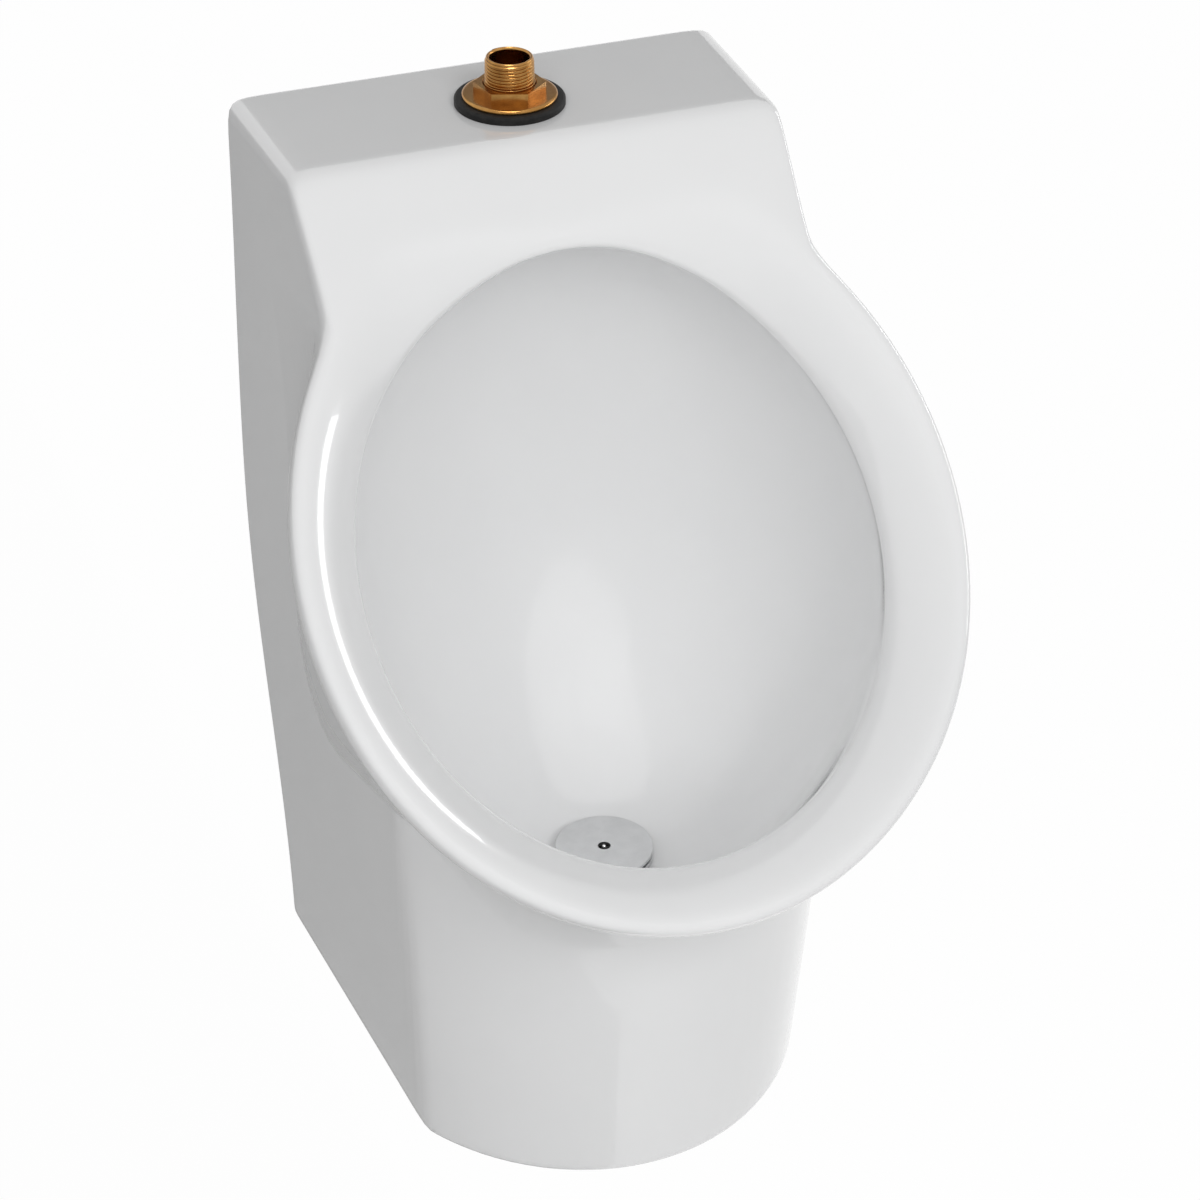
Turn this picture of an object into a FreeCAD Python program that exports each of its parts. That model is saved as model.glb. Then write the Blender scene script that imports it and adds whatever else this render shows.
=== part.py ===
import FreeCAD
import Part
import Sketcher
import math
import os

# Wall-hung urinal. X runs across, Y runs into the wall, Z runs up.
# The origin is the centre of the waste outlet on the wall plane.

doc = FreeCAD.newDocument("urinal")
sheet = doc.addObject("Spreadsheet::Sheet", "Sizes")

sizeList = [
    ("china_top", 390.0, "height of the flat top above the outlet"),
    ("china_bottom", 150.0, "depth of the skirt's foot below the outlet"),
    ("china_wall", 11.0, "usual thickness of the china"),
    ("half_top", 136.0, "half width at the wall, top"),
    ("half_upper", 139.3, "half width at the wall, upper bend"),
    ("half_lower", 132.5, "half width at the wall, lower bend"),
    ("half_foot", 125.4, "half width at the wall, foot"),
    ("upper_bend", 150.0, "height of the upper bend"),
    ("lower_bend", 10.0, "height of the lower bend"),
    ("side_draft_top", 0.040, "narrowing of the sides towards the front, top"),
    ("side_draft_foot", 0.066, "narrowing of the sides towards the front, foot"),
    ("top_depth", 101.0, "depth of the flat top"),
    ("face_tilt", 42.9, "lean of the front face from upright"),
    ("skirt_centre", 136.0, "distance of the skirt's curve centre from the wall"),
    ("skirt_half", 130.6, "half width of the skirt's curve at the foot"),
    ("skirt_reach", 146.2, "reach of the skirt's curve at the foot"),
    ("skirt_flare", 0.00055, "growth of the skirt's curve for each unit of height"),
    ("top_round", 7.0, "rounding of the top's edges"),
    ("rim_half", 175.3, "half width of the rim"),
    ("rim_length", 194.0, "half length of the rim along the front face"),
    ("rim_top", 20.0, "distance of the rim's top down the front face"),
    ("rim_thick", 17.0, "thickness of the rim's edge"),
    ("rim_round", 8.0, "rounding of the rim's upper edge"),
    ("rim_under_round", 6.0, "rounding of the rim's lower edge"),
    ("neck_round", 20.0, "hollow rounding between rim and flank"),
    ("neck_bite", 1.0, "run of that rounding into rim and flank"),
    ("crest_round", 6.0, "rounding of the rim's crest"),
    ("crest_side", 12.3, "distance of the crest inside the rim's sides"),
    ("crest_top", 32.0, "distance of the crest below the rim's top"),
    ("crest_foot", 20.0, "distance of the crest above the rim's foot"),
    ("band_side", 38.8, "width of the rim's band at its sides"),
    ("band_top", 39.0, "width of the rim's band at its top"),
    ("band_foot", 37.0, "width of the rim's band at its foot"),
    ("mouth_sink_top", 8.0, "sink of the mouth below the front face, top"),
    ("mouth_sink_foot", 36.0, "sink of the mouth below the front face, foot"),
    ("housing_lap", 4.0, "lap of the housing into the rim"),
    ("housing_depth", 127.0, "depth of the housing behind the rim"),
    ("housing_taper", 47.0, "narrowing of the housing behind the rim"),
    ("housing_foot", 18.0, "rise of the housing's foot behind the rim"),
    ("housing_top", 72.0, "drop of the housing's top behind the rim"),
    ("bowl_undercut", 8.5, "undercut of the bowl above its mouth"),
    ("bowl_lip", 14.0, "thickness of the lip round the mouth"),
    ("bowl_low_rise", 121.0, "distance of the bowl's deepest ring above the mouth's foot"),
    ("bowl_depth", 194.0, "depth of the bowl below its mouth"),
    ("bowl_front_bow", 7.0, "bow of the bowl's front wall"),
    ("bowl_wall", 9.5, "thickness of the bowl"),
    ("panel_foot", 232.0, "height where the closed back begins"),
    ("chamber_half", 112.0, "half width of the flush chamber"),
    ("chamber_back", 32.0, "distance of the flush chamber from the wall"),
    ("chamber_front", 88.0, "distance of the flush chamber's front from the wall"),
    ("chamber_floor", 352.0, "height of the flush chamber's floor"),
    ("chamber_well", 256.0, "height of the foot of the flush chamber's rear well"),
    ("chamber_well_front", 46.0, "distance of the rear well's front from the wall"),
    ("top_wall", 12.0, "thickness of the china under the top"),
    ("slot_half", 44.0, "half width of the flush slot"),
    ("slot_high", 9.0, "height of the flush slot"),
    ("slot_run", 24.0, "run of the flush slot towards the front"),
    ("drain_inset", 197.6, "distance of the drain from the wall"),
    ("drain_floor", 3.0, "height of the drain's seat"),
    ("drain_seat", 30.0, "radius of the drain's seat"),
    ("throat", 21.0, "radius of the drain's throat"),
    ("throat_length", 11.0, "length of the drain's throat"),
    ("pocket", 27.0, "radius of the pocket under the throat"),
    ("pocket_length", 14.0, "length of the pocket under the throat"),
    ("boss", 37.0, "outside radius round the pocket"),
    ("trap_bore", 20.5, "radius of the trap's waterway"),
    ("trap_wall", 8.5, "thickness of the trap"),
    ("trap_bend", 38.0, "bend radius of the trap"),
    ("trap_drop", 60.0, "depth of the trap's bend below the outlet"),
    ("outlet_inset", 26.0, "distance of the outlet face from the wall"),
    ("lug_half", 68.0, "half width of the outlet lugs"),
    ("lug_high", 34.0, "half height of the outlet lugs"),
    ("lug_thick", 14.0, "thickness of the outlet lugs"),
    ("outlet_bolt_gap", 54.0, "distance of the outlet bolts from the middle"),
    ("outlet_bolt_hole", 5.0, "radius of the bolt holes in the lugs"),
    ("spud_inset", 55.6, "distance of the inlet from the wall"),
    ("spud_hole", 18.5, "radius of the inlet hole in the china"),
    ("hanger_gap", 80.0, "distance of each hanger from the middle"),
    ("hanger_half", 25.0, "half width of a hanger"),
    ("hanger_sheet", 3.0, "thickness of the hanger's sheet"),
    ("hanger_foot", 284.0, "height of the hanger's foot"),
    ("hanger_head", 366.0, "height of the hanger's head"),
    ("hanger_saddle", 333.0, "height of the hook's saddle"),
    ("hanger_hook", 15.0, "reach of the hook from the wall"),
    ("hanger_tongue", 15.0, "height of the hook's tongue above the saddle"),
    ("hanger_hole", 3.6, "radius of the hanger's screw holes"),
    ("hanger_hole_low", 296.0, "height of the lower screw holes"),
    ("hanger_hole_high", 318.0, "height of the upper screw holes"),
    ("hanger_play", 0.6, "clearance between hanger and china"),
    ("lift_room", 16.0, "lift that frees the china from the hooks"),
    ("pocket_side_play", 6.0, "clearance beside each hanger"),
    ("pocket_depth", 26.0, "depth of the hanger pockets"),
    ("gasket_radius", 28.9, "radius of the inlet gasket"),
    ("gasket_thick", 4.0, "thickness of the inlet gasket"),
    ("gasket_bevel", 1.0, "bevel of the inlet gasket"),
    ("gasket_play", 0.3, "clearance of the gasket's sleeve in the china"),
    ("tube_radius", 13.33, "radius of the inlet tube"),
    ("tube_bore", 10.3, "radius of the inlet tube's bore"),
    ("tube_high", 26.0, "height of the inlet tube above the china"),
    ("tube_lip", 1.0, "chamfer of the inlet tube's mouth"),
    ("tube_flange", 17.8, "radius of the inlet tube's flange"),
    ("tube_flange_thick", 6.0, "thickness of the inlet tube's flange"),
    ("thread_pitch", 1.814, "pitch of the inlet thread"),
    ("thread_depth", 1.0, "depth of the inlet thread"),
    ("thread_step", 0.35, "step from the inlet tube down to its thread"),
    ("thread_turns", 7, "turns of thread above the nut"),
    ("tube_play", 0.35, "clearance round the inlet tube"),
    ("nut_play", 0.07, "running clearance of the locknut"),
    ("washer_radius", 24.85, "radius of the inlet washer"),
    ("washer_thick", 2.2, "thickness of the inlet washer"),
    ("nut_flats", 32.6, "locknut across its flats"),
    ("nut_high", 5.6, "height of the locknut"),
    ("nut_turn", 10.6, "rest angle of the locknut's first flat"),
    ("seal_thick", 1.2, "thickness of the strainer's seal"),
    ("seal_inner", 22.0, "inner radius of the strainer's seal"),
    ("base_radius", 26.9, "radius of the strainer's base"),
    ("base_inner", 19.5, "inner radius of the strainer's base"),
    ("base_thick", 2.0, "thickness of the strainer's base"),
    ("base_hub", 6.0, "radius of the strainer's hub"),
    ("base_arm", 6.0, "width of the strainer's arms"),
    ("post_radius", 1.6, "radius of the strainer's posts"),
    ("post_circle", 23.2, "circle of the strainer's posts"),
    ("post_count", 6, "number of the strainer's posts"),
    ("slit_high", 2.0, "height of the slits under the plate"),
    ("plate_radius", 26.9, "radius of the strainer's plate"),
    ("plate_thick", 1.8, "thickness of the strainer's plate"),
    ("plate_hole", 3.4, "radius of the plate's hole"),
    ("plate_round", 0.6, "rounding of the plate's edge"),
    ("screw_head", 2.9, "radius of the screw's head"),
    ("screw_head_high", 3.4, "height of the screw's head"),
    ("screw_shank", 1.9, "radius of the screw's shank"),
    ("screw_tail", 4.0, "length of the screw past the crossbar"),
    ("screw_slot", 0.9, "width of the screw's slot"),
    ("screw_slot_deep", 1.0, "depth of the screw's slot"),
    ("screw_play", 0.06, "running clearance of the screw"),
    ("bridge_long", 46.0, "length of the crossbar"),
    ("bridge_wide", 11.0, "width of the crossbar"),
    ("bridge_thick", 5.0, "thickness of the crossbar"),
    ("outlet_gasket_radius", 38.0, "radius of the outlet gasket"),
    ("outlet_gasket_bore", 22.5, "inner radius of the outlet gasket"),
    ("outlet_gasket_thick", 5.0, "thickness of the outlet gasket"),
    ("flange_radius", 41.0, "radius of the outlet flange"),
    ("flange_thick", 9.0, "thickness of the outlet flange"),
    ("flange_ear", 14.0, "radius of the outlet flange's ears"),
    ("flange_hub", 37.0, "radius of the outlet flange's hub"),
    ("flange_bore", 28.7, "radius of the outlet flange's threaded bore"),
    ("flange_thread", 16.0, "length of the outlet flange's threaded bore"),
    ("flange_water", 22.5, "radius of the outlet flange's waterway"),
    ("flange_bolt_hole", 4.4, "radius of the outlet flange's bolt holes"),
    ("bolt_radius", 3.97, "radius of the outlet bolts"),
    ("bolt_flats", 12.7, "outlet bolt heads across their flats"),
    ("bolt_head", 5.4, "height of the outlet bolt heads"),
    ("bolt_tail", 5.0, "length of the outlet bolts past their nuts"),
    ("bolt_washer_radius", 9.5, "radius of the outlet washers"),
    ("bolt_washer_thick", 1.8, "thickness of the outlet washers"),
    ("bolt_washer_play", 0.4, "clearance of the outlet washers"),
    ("bolt_nut_flats", 12.7, "outlet nuts across their flats"),
    ("bolt_nut_high", 6.8, "height of the outlet nuts"),
    ("bolt_nut_play", 0.06, "running clearance of the outlet nuts"),
]

for row, (alias, value, note) in enumerate(sizeList, start=1):
    sheet.set("A%d" % row, note)
    sheet.set("B%d" % row, str(value))
    sheet.setAlias("B%d" % row, alias)
doc.recompute()


def size(alias):
    return float(sheet.get(alias))


# The sloping front face, as distance down the face and depth behind it.
tilt = math.radians(size("face_tilt"))
faceTop = FreeCAD.Vector(0, -size("top_depth"), size("china_top"))
downFace = FreeCAD.Vector(0, -math.sin(tilt), -math.cos(tilt))
outFace = FreeCAD.Vector(0, -math.cos(tilt), math.sin(tilt))
across = FreeCAD.Vector(1, 0, 0)


def facePoint(down, deep):
    return faceTop + downFace * down - outFace * deep


def ovalWire(startPoint, endPoint, halfWidth):
    centre = (startPoint + endPoint) * 0.5
    halfLength = (endPoint - startPoint).Length / 2
    side = min(halfWidth, halfLength - 0.001)
    oval = Part.Ellipse(startPoint, centre + across * side, centre)
    return Part.Wire([oval.toShape()])


def faceOval(topDown, topDeep, footDown, footDeep, halfWidth):
    return ovalWire(facePoint(topDown, topDeep), facePoint(footDown, footDeep), halfWidth)


def box(x0, x1, y0, y1, z0, z1):
    return Part.makeBox(x1 - x0, y1 - y0, z1 - z0, FreeCAD.Vector(x0, y0, z0))


def upright(radius, z0, z1, y):
    return Part.makeCylinder(radius, z1 - z0, FreeCAD.Vector(0, y, z0))


def levelOval(halfWidth, reach, z):
    centre = -size("skirt_centre")
    return ovalWire(FreeCAD.Vector(0, centre + reach, z), FreeCAD.Vector(0, centre - reach, z), halfWidth)


# The two flanks lean in towards the front and narrow towards the foot.
def flankWire(y, inset):
    heights = [size("china_top"), size("upper_bend"), size("lower_bend"), -size("china_bottom")]
    halves = [size("half_top"), size("half_upper"), size("half_lower"), size("half_foot")]
    corners = []
    for height, half in zip(heights, halves):
        share = (size("china_top") - height) / (size("china_top") + size("china_bottom"))
        draft = size("side_draft_top") + share * (size("side_draft_foot") - size("side_draft_top"))
        corners.append((half - inset + draft * y, height))
    right = [FreeCAD.Vector(x, y, z) for x, z in corners]
    left = [FreeCAD.Vector(-x, y, z) for x, z in reversed(corners)]
    return Part.makePolygon(right + left + [right[0]])


def flanks(inset, back):
    return Part.makeLoft([flankWire(back, inset), flankWire(-420.0, inset)], True, True)


# The skirt's rounded front grows slowly upwards.
def skirt(inset, z0, z1):
    rings = []
    for z in (z0, z1):
        grow = 1 + size("skirt_flare") * (z + size("china_bottom"))
        rings.append(levelOval(size("skirt_half") * grow - inset, size("skirt_reach") * grow - inset, z))
    front = Part.makeLoft(rings, True, True)
    return front.fuse(box(-190, 190, -size("skirt_centre"), 1, z0, z1))


def behindFace(deep):
    slab = Part.makeBox(800, 900, 700, FreeCAD.Vector(-400, -300, 0))
    turn = FreeCAD.Rotation(across, downFace, outFace * -1, "XYZ")
    slab.Placement = FreeCAD.Placement(facePoint(0, deep), turn)
    return slab


def makeChina():
    top = size("china_top")
    foot = -size("china_bottom")
    wall = size("china_wall")
    drainY = -size("drain_inset")
    floor = size("drain_floor")

    # Outside: flanks, skirt and front face, with the top's edges rounded.
    core = flanks(0, 0).common(skirt(0, foot, top)).common(behindFace(0))
    faceEnd = facePoint(160, 0)
    rounded = []
    for edge in core.Edges:
        middle = edge.valueAt((edge.FirstParameter + edge.LastParameter) / 2)
        ends = [vertex.Point for vertex in edge.Vertexes]
        onTop = all(abs(point.z - top) < 0.01 for point in ends)
        onBack = all(abs(point.y) < 0.01 for point in ends)
        onFace = all(abs((point - faceTop).dot(outFace)) < 0.01 for point in ends)
        if onTop and not onBack:
            rounded.append(edge)
        elif onFace and abs(middle.x) > 100 and middle.z > faceEnd.z:
            rounded.append(edge)
    core = core.makeFillet(size("top_round"), rounded)

    # Rim: a slab along the front face that overhangs the flanks.
    length = size("rim_length")
    rimTop = size("rim_top")
    rimFoot = rimTop + 2 * length
    centre = rimTop + length
    half = size("rim_half")
    thick = size("rim_thick")
    rimOutline = Part.Face(faceOval(centre - length, 0, centre + length, 0, half))
    rim = rimOutline.extrude(outFace * -thick)

    def rimEdge(deep):
        rings = [edge for edge in rim.Edges if edge.isClosed()]
        return [edge for edge in rings if abs((edge.valueAt(0.3) - faceTop).dot(outFace) + deep) < 0.01][:1]

    rim = rim.makeFillet(size("rim_round"), rimEdge(0))
    rim = rim.makeFillet(size("rim_under_round"), rimEdge(thick))

    # Housing: the bowl's outside between the rim and the skirt.
    shells = []
    for share in (0.0, 0.15, 0.36, 0.65, 1.0):
        taper = share ** 0.6
        deep = thick - size("housing_lap") + share * size("housing_depth")
        topDown = centre - length + size("housing_lap") * 2 + size("housing_top") * share ** 1.8
        footDown = centre + length - size("rim_under_round") - size("housing_foot") * taper
        shellHalf = half - size("rim_under_round") - 1 - size("housing_taper") * taper
        shells.append(faceOval(topDown, deep, footDown, deep, shellHalf))
    housing = Part.makeLoft(shells, True, False)

    # Neck: on each side the rim runs into the flank with a hollow rounding.
    necks = []
    neckRound = size("neck_round")
    bite = size("neck_bite")
    flankAt = size("half_top") - size("side_draft_top") * size("top_depth") * 1.5 - bite
    spotX = flankAt + neckRound

    def rimGap(down):
        gaps = []
        for step in range(400):
            angle = math.pi * step / 400
            ovalX = half * math.sin(angle)
            ovalDown = centre - length * math.cos(angle)
            gaps.append((math.hypot(ovalX - spotX, ovalDown - down), ovalX, ovalDown))
        return min(gaps)

    high = 0.0
    low = centre - length * 0.6
    for step in range(40):
        spotDown = (high + low) / 2
        if rimGap(spotDown)[0] > neckRound - bite:
            high = spotDown
        else:
            low = spotDown
    gap, touchX, touchDown = rimGap(spotDown)
    touchX = spotX + (touchX - spotX) * neckRound / gap
    touchDown = spotDown + (touchDown - spotDown) * neckRound / gap
    for side in (-1, 1):
        def neckPoint(x, down):
            return facePoint(down, 0) + across * (side * x)

        flankEnd = neckPoint(flankAt, spotDown)
        rimEnd = neckPoint(touchX, touchDown)
        inner = neckPoint(flankAt - 12, touchDown + 4)
        toward = math.atan2((spotDown + touchDown) / 2 - spotDown, (flankAt + touchX) / 2 - spotX)
        waist = neckPoint(spotX + neckRound * math.cos(toward), spotDown + neckRound * math.sin(toward))
        bow = Part.Arc(flankEnd, waist, rimEnd).toShape()
        outline = Part.Wire([bow, Part.makeLine(rimEnd, inner), Part.makeLine(inner, flankEnd)])
        neck = Part.Face(outline).extrude(outFace * -thick)
        bowEdges = []
        for edge in neck.Edges:
            spot = edge.valueAt((edge.FirstParameter + edge.LastParameter) / 2)
            if (spot - waist).Length < 0.5:
                bowEdges.append(edge)
        necks.append(neck.makeFillet(size("top_round"), bowEdges))

    # Mouth: the band of the rim slopes from its crest into the bowl.
    crestTop = rimTop + size("crest_top")
    crestFoot = rimFoot - size("crest_foot")
    crestHalf = half - size("crest_side")
    mouthTop = rimTop + size("band_top")
    mouthFoot = rimFoot - size("band_foot")
    mouthHalf = half - size("band_side")
    sinkTop = size("mouth_sink_top")
    sinkFoot = size("mouth_sink_foot")
    mouth = Part.makeLoft([
        faceOval(crestTop - 1, -3, crestFoot + 3, -3, crestHalf + 3),
        faceOval(mouthTop, sinkTop, mouthFoot, sinkFoot, mouthHalf),
        faceOval(mouthTop + 22, sinkTop + 34, mouthFoot - 20, sinkFoot + 26, mouthHalf - 20),
    ], True, True)
    outside = core.fuse([rim, housing] + necks).removeSplitter().cut(mouth)
    crest = []
    crestCentre = (crestTop + crestFoot) / 2 + 1
    crestLength = (crestFoot - crestTop) / 2 + 6
    for edge in outside.Edges:
        runs = [edge.getParameterByLength(edge.Length * share) for share in (0.1, 0.4, 0.7, 0.95)]
        spots = [edge.valueAt(run) for run in runs]
        flat = all(abs((spot - faceTop).dot(outFace)) < 0.05 for spot in spots)
        downs = [(spot - faceTop).dot(downFace) - crestCentre for spot in spots]
        reaches = [spot.x / (crestHalf + 3) for spot in spots]
        spread = [math.hypot(reach, down / crestLength) for reach, down in zip(reaches, downs)]
        inside = max(spread) < 1.005
        if flat and inside:
            crest.append(edge)
    outside = outside.makeFillet(size("crest_round"), crest)

    # Bowl: a fan of ovals from the mouth to the drain's seat.
    seat = size("drain_seat")
    seatBack = FreeCAD.Vector(0, drainY + seat, floor)
    seatFront = FreeCAD.Vector(0, drainY - seat, floor)
    fan = [(
        mouthTop - size("bowl_undercut"),
        sinkTop + size("bowl_lip"),
        mouthFoot,
        sinkFoot + size("bowl_lip") / 2,
        mouthHalf,
    )]
    rings = 7
    seatDeep = -(seatFront - faceTop).dot(outFace)
    for ring in range(1, rings):
        share = ring / rings
        sweep = math.radians(12 + 86 * (ring - 1) / (rings - 2))
        lowPoint = mouthFoot - size("bowl_low_rise")
        backRise = lowPoint - mouthTop + 2 * size("bowl_undercut")
        startDeep = sinkTop + 1.5 * size("bowl_lip")
        lipDeep = sinkFoot + size("bowl_lip") / 2
        fan.append((
            lowPoint - backRise * math.cos(sweep),
            startDeep + size("bowl_depth") * math.sin(sweep),
            mouthFoot + size("bowl_front_bow") * math.sin(math.pi * share),
            lipDeep + (seatDeep - lipDeep) * share,
            seat + (mouthHalf - seat) * (1 - share ** 1.6),
        ))

    def bowl(grow, drop):
        ovals = []
        for topDown, topDeep, footDown, footDeep, halfWidth in fan:
            start = facePoint(topDown, topDeep)
            end = facePoint(footDown, footDeep)
            along = (end - start).normalize() * grow
            ovals.append(ovalWire(start - along, end + along, halfWidth + grow))
        low = FreeCAD.Vector(0, 0, drop)
        out = FreeCAD.Vector(0, grow, 0)
        ovals.append(ovalWire(seatBack + out - low, seatFront - out - low, seat + grow))
        return Part.makeLoft(ovals, True, False)

    bowlRoom = bowl(0, 0)
    bowlShell = bowl(size("bowl_wall"), size("bowl_wall")).common(outside)

    # Skirt's hollow: open at the foot and at the lower back.
    hollow = flanks(wall, 1).common(skirt(wall, foot - 1, size("panel_foot"))).common(behindFace(46))

    # Flush chamber under the top, with a well behind the bowl and a slot into it.
    chamber = box(-size("chamber_half"), size("chamber_half"), -size("chamber_front"),
                  -size("chamber_back"), size("chamber_floor"), top - size("top_wall"))
    well = box(-size("chamber_half"), size("chamber_half"), -size("chamber_well_front"),
               -size("chamber_back"), size("chamber_well"), size("chamber_floor") + 5)
    slotFront = -size("chamber_front") - size("slot_run")
    slotTop = size("chamber_floor") + size("slot_high")
    slot = box(-size("slot_half"), size("slot_half"), slotFront, -size("chamber_front") + 10,
               size("chamber_floor"), slotTop)
    slotDrop = box(-size("slot_half"), size("slot_half"), slotFront, slotFront + size("slot_high"),
                   size("chamber_floor") - 30, slotTop)

    # Trap: down from the drain, round a bend, and back to the outlet.
    bend = size("trap_bend")
    drop = -size("trap_drop")
    startTrap = FreeCAD.Vector(0, drainY, floor - size("throat_length") - size("pocket_length") + 2)
    lowTrap = FreeCAD.Vector(0, drainY, drop)
    midTrap = FreeCAD.Vector(0, drainY + bend, drop - bend)
    riseTrap = FreeCAD.Vector(0, drainY + 2 * bend, drop)
    highTrap = FreeCAD.Vector(0, drainY + 2 * bend, -bend)
    turnTrap = FreeCAD.Vector(0, drainY + 3 * bend - bend * math.sqrt(0.5), -bend + bend * math.sqrt(0.5))
    levelTrap = FreeCAD.Vector(0, drainY + 3 * bend, 0)
    endTrap = FreeCAD.Vector(0, -size("outlet_inset"), 0)
    path = Part.Wire([
        Part.makeLine(startTrap, lowTrap),
        Part.Arc(lowTrap, midTrap, riseTrap).toShape(),
        Part.makeLine(riseTrap, highTrap),
        Part.Arc(highTrap, turnTrap, levelTrap).toShape(),
        Part.makeLine(levelTrap, endTrap),
    ])

    def tube(radius):
        ring = Part.Wire([Part.makeCircle(radius, startTrap, FreeCAD.Vector(0, 0, -1))])
        return path.makePipeShell([ring], True, False)

    trapRoom = tube(size("trap_bore"))
    trapShell = tube(size("trap_bore") + size("trap_wall"))
    throatFoot = floor - size("throat_length")
    pocketFoot = throatFoot - size("pocket_length")
    drainBoss = upright(size("boss"), pocketFoot - 8, floor, drainY)
    throatRoom = upright(size("throat"), throatFoot - 1, floor + 1, drainY)
    pocketRoom = upright(size("pocket"), pocketFoot, throatFoot, drainY)

    # Outlet lugs with two bolt holes.
    face = -size("outlet_inset")
    lugs = box(-size("lug_half"), size("lug_half"), face - size("lug_thick"), face,
               -size("lug_high"), size("lug_high"))
    corners = [edge for edge in lugs.Edges if abs(edge.Vertexes[0].Y - edge.Vertexes[1].Y) > 1]
    lugs = lugs.makeFillet(size("lug_high") * 0.6, corners)
    boltHoles = []
    for side in (-1, 1):
        at = FreeCAD.Vector(side * size("outlet_bolt_gap"), face - size("lug_thick") - 5, 0)
        boltHoles.append(Part.makeCylinder(size("outlet_bolt_hole"), size("lug_thick") + 10, at,
                                           FreeCAD.Vector(0, 1, 0)))

    # Hanger pockets in the closed back.
    pockets = []
    pocketFootZ = size("hanger_foot") - size("lift_room") - 6
    lipFront = -size("hanger_hook") + size("hanger_sheet") + size("hanger_play")
    lipBack = -size("hanger_sheet") - size("hanger_play")
    for side in (-1, 1):
        x0 = side * size("hanger_gap") - size("hanger_half") - size("pocket_side_play")
        x1 = side * size("hanger_gap") + size("hanger_half") + size("pocket_side_play")
        saddle = size("hanger_saddle")
        pockets.append(box(x0, x1, lipBack, 1, pocketFootZ, size("hanger_head") + 6))
        pockets.append(box(x0, x1, -size("pocket_depth"), 1, pocketFootZ, saddle))
        pockets.append(box(x0, x1, -size("pocket_depth"), lipFront, saddle - 1,
                           saddle + size("hanger_tongue") + 8))

    spudHole = upright(size("spud_hole"), top - size("top_wall") - 1, top + 1, -size("spud_inset"))

    china = outside.cut([hollow, chamber, well])
    china = china.fuse([bowlShell, trapShell, drainBoss, lugs])
    china = china.cut([bowlRoom, mouth, trapRoom, throatRoom, pocketRoom, slot, slotDrop, spudHole])
    china = china.cut(pockets + boltHoles)
    solids = sorted(china.Solids, key=lambda solid: solid.Volume, reverse=True)
    return solids[0]


china = doc.addObject("Part::Feature", "china_body")
china.Label = "china_body"
china.Shape = makeChina()


# Helpers for the turned, cut and pressed pieces.
def addBody(label):
    body = doc.addObject("PartDesign::Body", label)
    body.Label = label
    return body


def place(body, x, y, z, turnX):
    turn = FreeCAD.Rotation(FreeCAD.Vector(1, 0, 0), turnX)
    body.Placement = FreeCAD.Placement(FreeCAD.Vector(0, 0, 0), turn)
    for name, formula in (("x", x), ("y", y), ("z", z)):
        if formula:
            body.setExpression("Placement.Base." + name, formula)


def addSketch(body, role, name, lift=None):
    sketch = body.newObject("Sketcher::SketchObject", name)
    plane = [item for item in body.Origin.OriginFeatures if item.Role == role][0]
    sketch.AttachmentSupport = [(plane, "")]
    sketch.MapMode = "FlatFace"
    if lift:
        sketch.setExpression("AttachmentOffset.Base.z", lift)
    return sketch


def bind(sketch, constraint, formula):
    index = sketch.addConstraint(constraint)
    sketch.setExpression("Constraints[%d]" % index, formula)


def drawCircle(sketch, radius, x=None, y=None):
    circle = Part.Circle(FreeCAD.Vector(0, 0, 0), FreeCAD.Vector(0, 0, 1), 5.0)
    index = sketch.addGeometry(circle, False)
    bind(sketch, Sketcher.Constraint("Radius", index, 5.0), radius)
    if x is None:
        sketch.addConstraint(Sketcher.Constraint("Coincident", index, 3, -1, 1))
        return
    bind(sketch, Sketcher.Constraint("DistanceX", -1, 1, index, 3, 1.0), x)
    if y is None:
        sketch.addConstraint(Sketcher.Constraint("PointOnObject", index, 3, -1))
    else:
        bind(sketch, Sketcher.Constraint("DistanceY", -1, 1, index, 3, 1.0), y)


def drawOutline(sketch, points):
    spots = [FreeCAD.Vector(formulaValue(x), formulaValue(y), 0) for x, y in points]
    count = len(points)
    lines = []
    for index in range(count):
        line = Part.LineSegment(spots[index], spots[(index + 1) % count])
        lines.append(sketch.addGeometry(line, False))
    for index in range(count):
        following = lines[(index + 1) % count]
        sketch.addConstraint(Sketcher.Constraint("Coincident", lines[index], 2, following, 1))
    for index, (x, y) in enumerate(points):
        bind(sketch, Sketcher.Constraint("DistanceX", -1, 1, lines[index], 1, spots[index].x), x)
        bind(sketch, Sketcher.Constraint("DistanceY", -1, 1, lines[index], 1, spots[index].y), y)


def formulaValue(formula):
    return float(sheet.evalExpression(formula.replace("Sizes.", "")))


def drawHexagon(sketch, flats, turn):
    points = []
    for step in range(6):
        angle = "(%s + %d)" % (turn, 60 * step + 30)
        points.append(("%s / sqrt(3) * cos(%s * 1deg)" % (flats, angle),
                       "%s / sqrt(3) * sin(%s * 1deg)" % (flats, angle)))
    drawOutline(sketch, points)


def addPad(body, sketch, length, name):
    pad = body.newObject("PartDesign::Pad", name)
    pad.Profile = sketch
    pad.setExpression("Length", length)
    sketch.Visibility = False
    return pad


def addPocket(body, sketch, length, name, reverse=False):
    pocket = body.newObject("PartDesign::Pocket", name)
    pocket.Profile = sketch
    pocket.setExpression("Length", length)
    pocket.Reversed = reverse
    sketch.Visibility = False
    return pocket


def addTurned(body, points, name):
    sketch = addSketch(body, "XZ_Plane", name + "_outline")
    drawOutline(sketch, points)
    turned = body.newObject("PartDesign::Revolution", name)
    turned.Profile = sketch
    turned.ReferenceAxis = (sketch, ["V_Axis"])
    turned.Angle = 360.0
    sketch.Visibility = False
    return turned


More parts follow.
